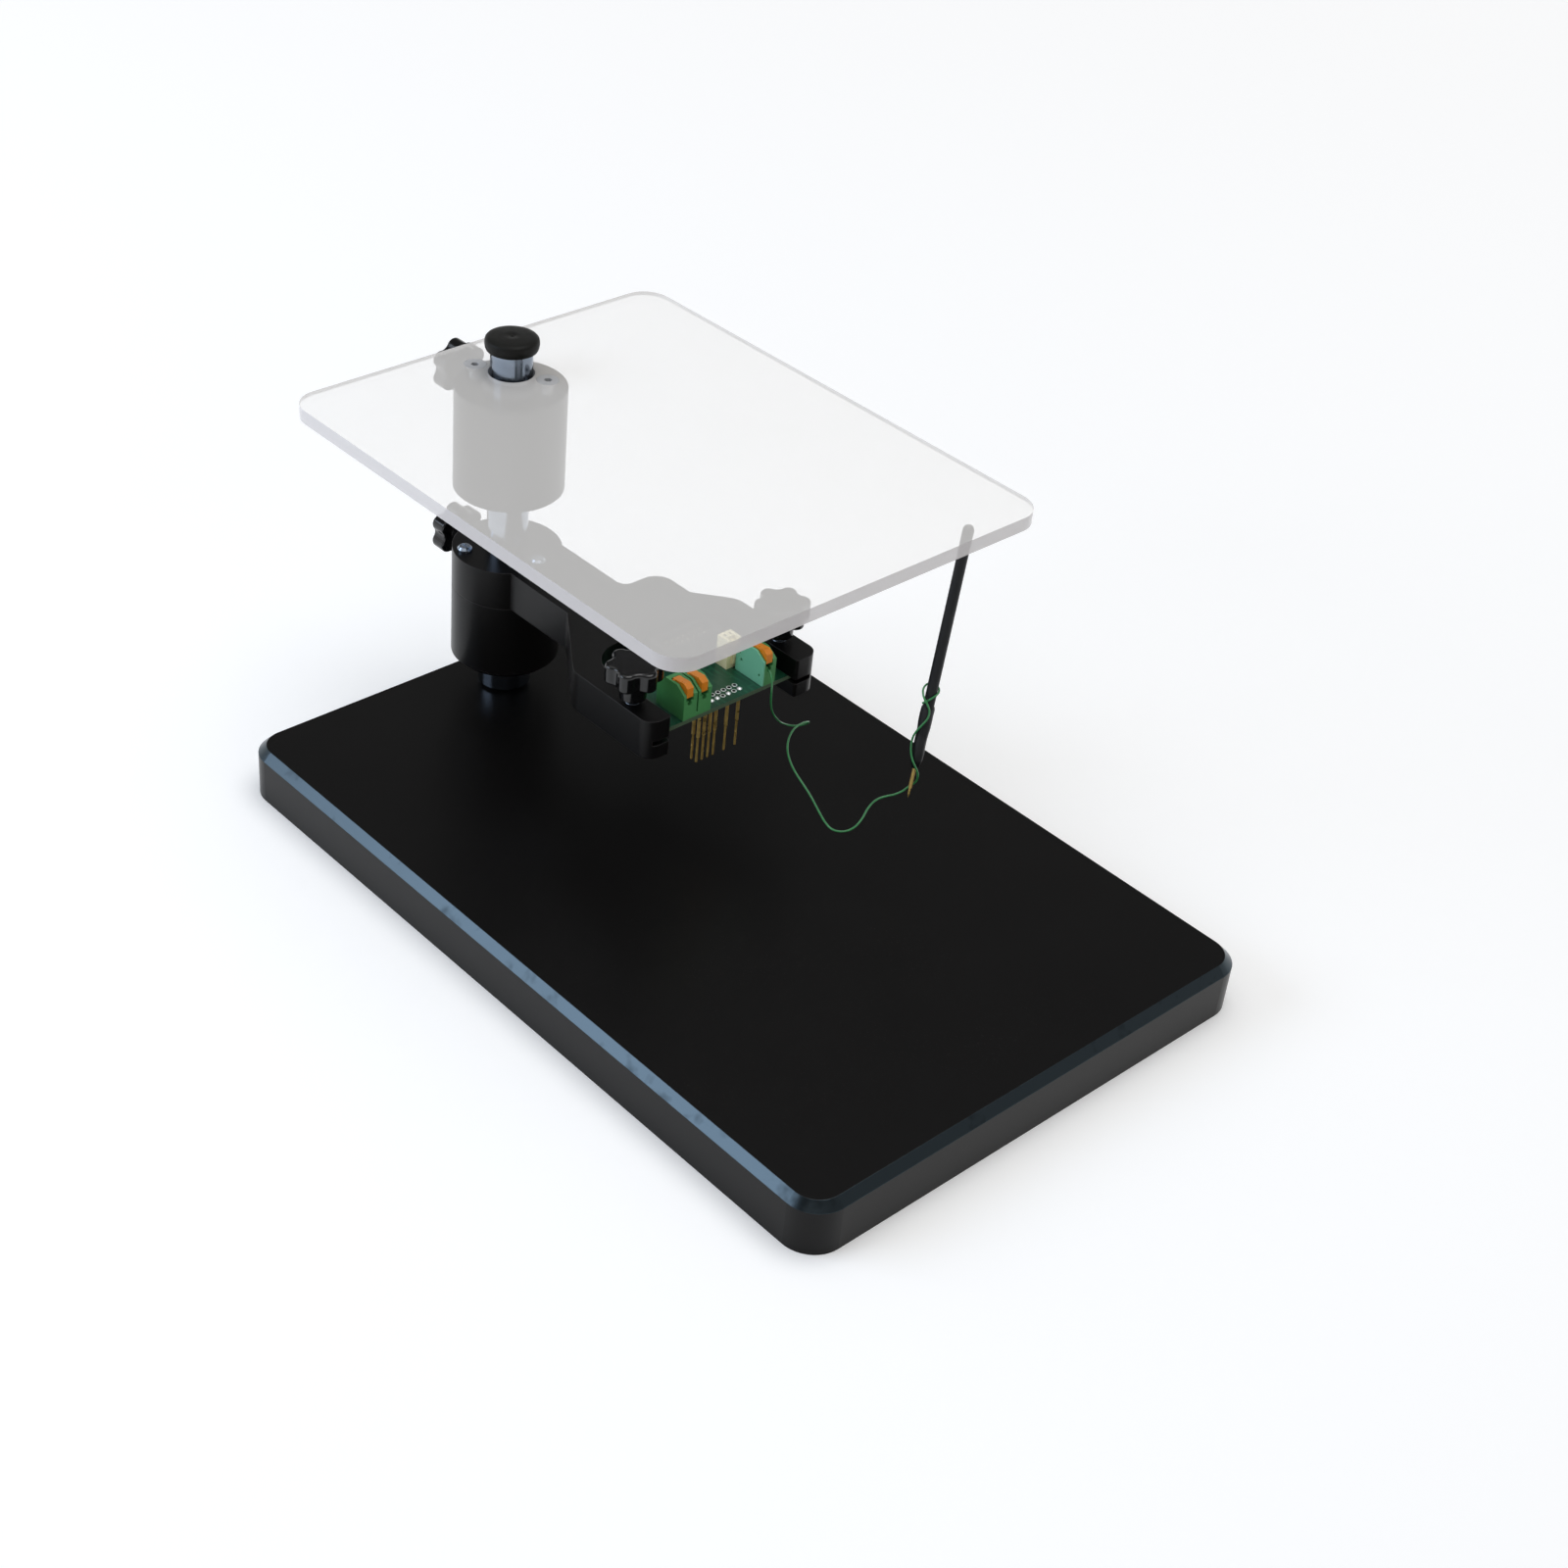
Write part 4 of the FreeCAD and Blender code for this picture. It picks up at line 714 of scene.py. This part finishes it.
class FRAME_OT_cap(bpy.types.Operator):
    """Make the column's domed cap with its rolled rim and moulding pip"""

    bl_idname = "frame.cap"
    bl_label = "Column Cap"

    def execute(self, context):
        finish = context.scene.frame_finishes
        low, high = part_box("column_cap")
        outer = (high.x - low.x) / 2
        tall = high.z - low.z
        inner = outer - 2.05 * MM
        profile = [
            (inner, 2.8 * MM), (inner, 0.15 * MM), (inner + 0.15 * MM, 0.0),
            (outer - 1.0 * MM, 0.0), (outer - 0.45 * MM, 0.35 * MM),
            (outer - 0.12 * MM, tall * 0.24), (outer, tall * 0.42), (outer, tall * 0.62),
            (outer - 0.16 * MM, tall * 0.76), (outer - 0.6 * MM, tall * 0.86),
            (outer - 1.4 * MM, tall * 0.925), (outer - 3.0 * MM, tall * 0.955),
            (outer * 0.35, tall * 0.985), (1.3 * MM, tall * 0.99), (0.9 * MM, tall * 0.955),
            (0.5 * MM, tall * 0.965), (0.3 * MM, tall),
        ]
        cap = turned("cap_dome", profile, context.scene.frame_pieces.cap_segments)
        settle(cap, Matrix.Translation((CAP_MIDDLE.x, CAP_MIDDLE.y, low.z)))
        give(cap, moulded_plastic("cap_plastic", finish.cap_black, 0.46, grain_depth=0.03 * MM,
                                  grain_scale=2200.0, lighter=1.5, specular=0.14))
        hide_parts("column_cap")
        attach(cap, "base")
        return {"FINISHED"}


class FRAME_OT_arm(bpy.types.Operator):
    """Finish the arm, its collar and both bushes"""

    bl_idname = "frame.arm"
    bl_label = "Arm"

    def execute(self, context):
        finish = context.scene.frame_finishes
        dress(anodised_finish("anodised_arm", finish.anodised, edge_radius=0.45 * MM,
                              grain_scale=3200.0, dust_amount=0.18, specular=0.2,
                              roughness=SATIN), "arm", "arm_collar")
        dress(moulded_plastic("bush_plastic", finish.bush_grey, 0.4), "arm_bush", "hub_bush")
        return {"FINISHED"}


class FRAME_OT_clear_plate(bpy.types.Operator):
    """Finish the clear plate and the hub under it"""

    bl_idname = "frame.clear_plate"
    bl_label = "Clear Plate"

    def execute(self, context):
        finish = context.scene.frame_finishes
        low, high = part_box("clear_plate")
        dress(clear_finish(finish, low.z, high.z), "clear_plate")
        dress(anodised_finish("anodised_hub", finish.anodised, edge_radius=0.4 * MM,
                              grain_scale=3200.0, dust_amount=0.1, specular=0.2,
                              roughness=(0.28, 0.32)), "plate_hub")
        return {"FINISHED"}


class FRAME_OT_knobs(bpy.types.Operator):
    """Finish the star knobs and their studs"""

    bl_idname = "frame.knobs"
    bl_label = "Star Knobs"

    def execute(self, context):
        finish = context.scene.frame_finishes
        dress(moulded_plastic("knob_plastic", finish.knob_black, 0.11, edge_radius=0.4 * MM,
                              grain_depth=0.004 * MM, lighter=2.0),
              "arm_knob", "hub_knob", "near_wing_knob", "far_wing_knob")
        plated = scaled(finish.steel, 1.5)
        dress(threaded_steel("steel_stud", plated, "X"), "arm_stud", "hub_stud")
        dress(threaded_steel("steel_stud_upright", plated, "Z"), "near_wing_stud",
              "far_wing_stud")
        return {"FINISHED"}


def grid_places(filled, height):
    """Places of the contact grid's spots that hold a pin, or of those that are empty."""
    return [(FIRST_PIN.x - row * GRID_PITCH, FIRST_PIN.y + column * GRID_PITCH, height)
            for row, columns in enumerate((FRONT_ROW_COLUMNS, BACK_ROW_COLUMNS))
            for column in range(GRID_COLUMNS) if (column in columns) == filled]


def header_places(height):
    """Places of the box header's pins, in two rows of seven."""
    return [(HEADER_MIDDLE.x + row * GRID_PITCH, HEADER_MIDDLE.y + (column - 3) * GRID_PITCH,
             height) for row in (-0.5, 0.5) for column in range(7)]


def clipped_board():
    """The board with its back corners clipped to the arm's sloping sides, and its holes drilled."""
    board = start_piece(bpy.ops.mesh.primitive_cube_add, "clipped_board", size=1,
                        location=(BOARD_LOW + BOARD_HIGH) / 2, scale=BOARD_HIGH - BOARD_LOW)
    settle(board)
    bpy.ops.object.mode_set(mode="EDIT")
    for side, way, (along, across) in ((BOARD_LOW.y, -1, NEAR_CLIP), (BOARD_HIGH.y, 1, FAR_CLIP)):
        bpy.ops.mesh.select_all(action="SELECT")
        bpy.ops.mesh.bisect(plane_co=(BOARD_LOW.x + along * MM, side, 0),
                            plane_no=Vector((-across, along * way, 0)).normalized(),
                            use_fill=True, clear_outer=True)
    bpy.ops.object.mode_set(mode="OBJECT")
    thick = BOARD_HIGH.z - BOARD_LOW.z
    for radius, places in ((PIN_HOLE, grid_places(True, BOARD_LOW.z)),
                           (HEADER_HOLE, header_places(BOARD_LOW.z))):
        drill = start_piece(bpy.ops.mesh.primitive_cylinder_add, "drill_pattern", vertices=20,
                            radius=radius, depth=thick * 4)
        drills = copies(drill, "drills", places)
        apply_modifier(board, "BOOLEAN", object=drills, solver="EXACT")
        bpy.data.objects.remove(drills)
    return close_up(board, 20)


class FRAME_OT_board(bpy.types.Operator):
    """Make the adapter board with its tinned rings, each with a dark disc of painted shade where its
    hole would be
    """

    bl_idname = "frame.board"
    bl_label = "Adapter Board"

    def execute(self, context):
        finish = context.scene.frame_finishes
        sizes = context.scene.frame_pieces
        board = clipped_board()
        give(board, board_finish(finish.board_green))
        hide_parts("adapter_board")
        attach(board, "arm")
        hidden = 0.02 * MM
        outer, hole, thick = sizes.ring_radius, sizes.ring_hole, sizes.ring_thick
        ring = turned("ring_pattern", [(hole, thick * 0.5), (hole * 1.06, thick),
                                       (outer * 0.94, thick), (outer, thick * 0.5),
                                       (outer, -hidden)], 28)
        rings = copies(ring, "tinned_rings", grid_places(False, BOARD_HIGH.z))
        give(rings, plated_finish("tinned_ring", finish.solder, (0.25, 0.4), dark=0.85,
                                  metallic=0.5))
        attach(rings, "arm")
        # A dark disc in each ring stands for its open hole: painted shade, as the board is not
        # drilled there.
        hole_shade_disc = turned("mouth_pattern", [(hole * 0.98, 0), (hole * 0.98, thick * 1.2),
                                         (hole * 0.6, thick * 1.22)], 24)
        hole_shade_discs = copies(hole_shade_disc, "ring_holes", grid_places(False, BOARD_HIGH.z))
        give(hole_shade_discs, moulded_plastic("hole_shade", tint("060706"), 0.8, specular=0.1))
        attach(hole_shade_discs, "arm")
        return {"FINISHED"}


class FRAME_OT_solder(bpy.types.Operator):
    """Make the solder round the pins on both sides of the board"""

    bl_idname = "frame.solder"
    bl_label = "Solder"

    def execute(self, context):
        finish = context.scene.frame_finishes
        outer = context.scene.frame_pieces.ring_radius
        bead = turned("bead_pattern", [
            (outer * 0.98, 0.0), (outer, 0.05 * MM), (outer * 0.86, 0.16 * MM),
            (outer * 0.64, 0.34 * MM), (outer * 0.40, 0.46 * MM), (outer * 0.12, 0.52 * MM),
        ], 24)
        beads = copies(bead, "solder_beads", grid_places(True, BOARD_HIGH.z))
        shine = plated_finish("solder", finish.solder, (0.16, 0.34), dark=0.8, metallic=0.6)
        give(beads, shine)
        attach(beads, "arm")

        skirt = turned("skirt_pattern", [
            (outer * 0.95, 0.0), (outer * 0.95, -0.05 * MM), (outer * 0.62, -0.30 * MM),
            (0.42 * MM, -0.85 * MM), (0.30 * MM, -1.0 * MM),
        ], 20)
        spots = header_places(BOARD_LOW.z)
        for node in ("lever_one", "lever_two", "lever_three"):
            for back in TERMINAL_LEGS:
                spots.append((BOARD_HIGH.x - back, middle(node).y, BOARD_LOW.z))
        housing = middle("plug_housing")
        for side in (-HOUSING_LEG_SIDE, HOUSING_LEG_SIDE):
            spots.append((housing.x - HOUSING_LEG_BACK, housing.y + side, BOARD_LOW.z))
        skirts = copies(skirt, "solder_skirts", spots)
        give(skirts, shine)
        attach(skirts, "arm")
        return {"FINISHED"}


class FRAME_OT_terminals(bpy.types.Operator):
    """Finish the terminal blocks, their levers and the end cover"""

    bl_idname = "frame.terminals"
    bl_label = "Terminals"

    def execute(self, context):
        finish = context.scene.frame_finishes
        dress(moulded_plastic("terminal_plastic", finish.terminal_green, 0.34, 0.12 * MM,
                              lighter=1.7), "double_terminal", "single_terminal")
        dress(moulded_plastic("cover_plastic", finish.cover_green, 0.36, 0.1 * MM, lighter=1.3),
              "terminal_cover")
        dress(moulded_plastic("lever_plastic", finish.lever_orange, 0.3, 0.1 * MM, lighter=1.4),
              "lever_one", "lever_two", "lever_three")
        return {"FINISHED"}


class FRAME_OT_connectors(bpy.types.Operator):
    """Finish the two connectors and make the header's tapered gold pins"""

    bl_idname = "frame.connectors"
    bl_label = "Connectors"

    def execute(self, context):
        finish = context.scene.frame_finishes
        dress(moulded_plastic("header_plastic", tint("141414"), 0.45, 0.2 * MM, lighter=2.0),
              "box_header")
        dress(moulded_plastic("cream_plastic", finish.cream, 0.45, 0.2 * MM, lighter=1.1),
              "plug_housing")
        low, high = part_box("header_pins")
        width = context.scene.frame_pieces.header_pin_width
        tip, taper = 0.7 * MM, 0.45
        pin = start_piece(bpy.ops.mesh.primitive_cube_add, "pin_pattern", size=1,
                          scale=(width, width, high.z - low.z - tip * 2))
        settle(pin)
        bpy.ops.object.mode_set(mode="EDIT")
        bpy.ops.mesh.select_mode(type="FACE")
        for side in (1, -1):
            pick_end(pin, side)
            bpy.ops.mesh.extrude_region_move(TRANSFORM_OT_translate={"value": (0, 0, tip * side)})
            bpy.ops.transform.resize(value=(taper, taper, 1))
        bpy.ops.object.mode_set(mode="OBJECT")
        close_up(pin, 20)
        pins = copies(pin, "header_pin_set", header_places(HEADER_MIDDLE.z))
        give(pins, pin_finish("gold_pins", tint("F3EBD0"), high.z, tip))
        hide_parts("header_pins")
        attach(pins, "arm")
        return {"FINISHED"}


class FRAME_OT_contact_pins(bpy.types.Operator):
    """Finish the spring contact pins and the probe's needle"""

    bl_idname = "frame.contact_pins"
    bl_label = "Contact Pins"

    def execute(self, context):
        finish = context.scene.frame_finishes
        brass = plated_finish("pin_brass", scaled(finish.gold, 0.85), (0.22, 0.38), dark=0.6,
                              metallic=0.65)
        dress(brass, "pin_barrels", "needle_barrel")
        bright = plated_finish("pin_points", finish.gold, (0.16, 0.3), dark=0.7, metallic=0.65)
        dress(bright, "probe_needle", *(f"contact_pin_{index}" for index in range(1, 9)))
        return {"FINISHED"}


def probe_turn():
    """Turns a shape that stands on the origin along Z onto the probe's axis."""
    turn = PROBE_AXIS.to_track_quat("Z", "Y").to_matrix().to_4x4()
    return Matrix.Translation(PROBE_POINT) @ turn


def beside_probe(height, angle, distance):
    """A place beside the probe, by its height along the axis and its turn from the +X side."""
    side = (Vector((1, 0, 0)) - PROBE_AXIS * PROBE_AXIS.x).normalized()
    across = PROBE_AXIS.cross(side)
    turn = math.radians(angle)
    outwards = side * math.cos(turn) + across * math.sin(turn)
    return PROBE_POINT + PROBE_AXIS * height + outwards * distance


class FRAME_OT_probe(bpy.types.Operator):
    """Finish the probe's rod and make its creased shrunk sleeve"""

    bl_idname = "frame.probe"
    bl_label = "Probe"

    def execute(self, context):
        finish = context.scene.frame_finishes
        sizes = context.scene.frame_pieces
        dress(moulded_plastic("probe_plastic", finish.probe_black, 0.42, grain_depth=0.02 * MM,
                              grain_scale=2500.0, specular=0.25), "probe_rod")
        profile = [(radius * MM, height * MM) for radius, height in SLEEVE_RINGS]
        sleeve = turned("sleeve_skin", profile, sizes.sleeve_segments)
        bpy.ops.object.mode_set(mode="EDIT")
        for height in SLEEVE_CUTS:
            bpy.ops.mesh.select_all(action="SELECT")
            bpy.ops.mesh.bisect(plane_co=(0, 0, height * MM), plane_no=(0, 0, 1))
        bpy.ops.object.mode_set(mode="OBJECT")
        creases = bpy.data.textures.new("sleeve_creases", "CLOUDS")
        creases.noise_scale = 2.6 * MM
        creases.noise_depth = 2
        apply_modifier(sleeve, "DISPLACE", texture=creases, texture_coords="LOCAL",
                       strength=sizes.sleeve_creases, mid_level=0.75)
        apply_modifier(sleeve, "SUBSURF", levels=1, render_levels=1)
        close_up(sleeve, 60)
        settle(sleeve, probe_turn())
        give(sleeve, moulded_plastic("shrunk_sleeve", finish.sleeve_black, 0.36, 0.2 * MM,
                                     grain_depth=0.03 * MM, grain_scale=1500.0, lighter=1.5,
                                     specular=0.3))
        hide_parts("probe_sleeve")
        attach(sleeve, "probe")
        return {"FINISHED"}


def wire_line(name, route, diameter, material):
    """A round wire on one smooth curve."""
    curve = bpy.data.curves.new(name, "CURVE")
    curve.dimensions = "3D"
    spline = curve.splines.new("NURBS")
    spline.points.add(len(route) - 1)
    for point, place in zip(spline.points, route):
        point.co = (*place, 1)
    spline.order_u = 3
    spline.use_endpoint_u = True
    spline.resolution_u = 8
    curve.bevel_depth = diameter / 2
    curve.bevel_resolution = 4
    curve.use_fill_caps = True
    curve.materials.append(material)
    wire = bpy.data.objects.new(name, curve)
    bpy.context.collection.objects.link(wire)
    return wire


class FRAME_OT_wires(bpy.types.Operator):
    """Make the thin green wire, free from the terminal to the probe and then held on the probe"""

    bl_idname = "frame.wires"
    bl_label = "Wires"

    def execute(self, context):
        finish = context.scene.frame_finishes
        sizes = context.scene.frame_pieces
        skin = skin_finish("wire_green", finish.wire_green, 0.34)
        lead_route = [WIRE_MOUTH + Vector(place) for place in LEAD_ROUTE]
        lead = wire_line("lead_wire_line", lead_route, sizes.wire_diameter, skin)
        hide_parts("lead_wire")
        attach(lead, "arm")
        held_route = [beside_probe(height * MM, angle, distance * MM)
                      for height, angle, distance in PROBE_WIRE_ROUTE]
        held = wire_line("probe_wire_line", held_route, sizes.wire_diameter, skin)
        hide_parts("probe_wire")
        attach(held, "probe")
        return {"FINISHED"}


class FRAME_OT_stage(bpy.types.Operator):
    """Set the camera, the lamps and the pale floor"""

    bl_idname = "frame.stage"
    bl_label = "Stage"

    def execute(self, context):
        scene = context.scene
        stage = scene.frame_stage
        scene.view_settings.view_transform = "Standard"
        self.camera(scene, stage)
        self.sky(scene, stage)
        self.lamps(scene, stage)
        self.floor(stage)
        return {"FINISHED"}

    def camera(self, scene, stage):
        data = bpy.data.cameras.new("camera")
        data.lens = stage.lens
        data.sensor_width = 36
        data.shift_x, data.shift_y = stage.shift
        data.clip_start, data.clip_end = 0.01, 50
        camera = bpy.data.objects.new("camera", data)
        camera.location = stage.camera_place
        camera.rotation_euler = stage.camera_turn
        scene.collection.objects.link(camera)
        scene.camera = camera

    def sky(self, scene, stage):
        """Pale low down all round and overhead, and dim between, so that black faces stay black."""
        world = bpy.data.worlds.new("soft_sky")
        world.use_nodes = True
        tree = world.node_tree
        ramp = tree.nodes.new("ShaderNodeValToRGB")
        stops = ramp.color_ramp.elements
        stops[0].color = stops[1].color = (1, 1, 1, 1)
        for position, level in SKY_LEVELS:
            stops.new(position).color = (level, level, level, 1)
        feed(tree, ramp.inputs["Fac"], upward(tree, add_node(tree, "TexCoord")["Generated"]))
        light = tree.nodes["Background"].inputs
        feed(tree, light["Color"], ramp.outputs["Color"])
        feed(tree, light["Strength"], stage.sky_level)
        scene.world = world

    def lamps(self, scene, stage):
        aim = Vector((0.0, 0.0, 0.05))
        lamps = (
            ("window", Vector((-0.477, -0.735, 0.483)), 1.5, (1.0, 0.6), stage.window_power,
             stage.window_colour),
            ("overhead", Vector((0.10, 0.16, 1.0)), 1.4, (0.9, 0.9), stage.top_power, (1, 1, 1)),
        )
        for name, way, reach, size, power, colour in lamps:
            data = bpy.data.lights.new(name, "AREA")
            data.shape = "RECTANGLE"
            data.size, data.size_y = size
            data.energy = power
            data.color = colour
            lamp = bpy.data.objects.new(name, data)
            lamp.location = aim + way.normalized() * reach
            lamp.rotation_euler = way.to_track_quat("Z", "Y").to_euler()
            scene.collection.objects.link(lamp)

    def floor(self, stage):
        floor = start_piece(bpy.ops.mesh.primitive_plane_add, "floor", size=30)
        material, tree, shader = new_material("floor", base_color=stage.floor_colour,
                                              roughness=0.9, specular_ior_level=0.1,
                                              emission_color=(1, 1, 1))
        rays = add_node(tree, "LightPath")
        seen = maths(tree, "MAXIMUM", rays["Is Camera Ray"], rays["Is Glossy Ray"])
        seen = maths(tree, "MAXIMUM", seen, rays["Is Transmission Ray"])
        away = add_node(tree, "VectorMath", {0: add_node(tree, "TexCoord")["Object"]},
                        operation="LENGTH")["Value"]
        glow = spread(tree, away, *FLOOR_GLOW_REACH, stage.floor_glow,
                      stage.floor_glow + FLOOR_GLOW_GAIN)
        feed(tree, shader["Emission Strength"], product(tree, seen, glow))
        give(floor, material)


class FRAME_PT_panel(bpy.types.Panel):
    """Lists the operators in the order in which the frame is dressed"""

    bl_idname = "FRAME_PT_panel"
    bl_label = "Positioning Frame"
    bl_space_type = "VIEW_3D"
    bl_region_type = "UI"
    bl_category = "Positioning Frame"

    def draw(self, context):
        for operator in STEPS:
            self.layout.operator(operator.bl_idname)
        for label, group in (("Stage", context.scene.frame_stage),
                             ("Finishes", context.scene.frame_finishes),
                             ("Pieces", context.scene.frame_pieces)):
            box = self.layout.box()
            box.label(text=label)
            for name in group.__annotations__:
                box.prop(group, name)


STEPS = (
    FRAME_OT_stage,
    FRAME_OT_wires,
    FRAME_OT_base,
    FRAME_OT_column,
    FRAME_OT_cap,
    FRAME_OT_arm,
    FRAME_OT_clear_plate,
    FRAME_OT_knobs,
    FRAME_OT_board,
    FRAME_OT_solder,
    FRAME_OT_terminals,
    FRAME_OT_connectors,
    FRAME_OT_contact_pins,
    FRAME_OT_probe,
)

CLASSES = (StageSettings, FinishSettings, PieceSettings, *STEPS, FRAME_PT_panel)


def register():
    for item in CLASSES:
        bpy.utils.register_class(item)
    bpy.types.Scene.frame_stage = PointerProperty(type=StageSettings)
    bpy.types.Scene.frame_finishes = PointerProperty(type=FinishSettings)
    bpy.types.Scene.frame_pieces = PointerProperty(type=PieceSettings)


def unregister():
    del bpy.types.Scene.frame_pieces
    del bpy.types.Scene.frame_finishes
    del bpy.types.Scene.frame_stage
    for item in reversed(CLASSES):
        bpy.utils.unregister_class(item)


def main():
    """Dress the frame from end to end."""
    register()
    for step in STEPS:
        group, name = step.bl_idname.split(".")
        getattr(getattr(bpy.ops, group), name)()
    bpy.context.view_layer.update()


if __name__ == "__main__":
    main()
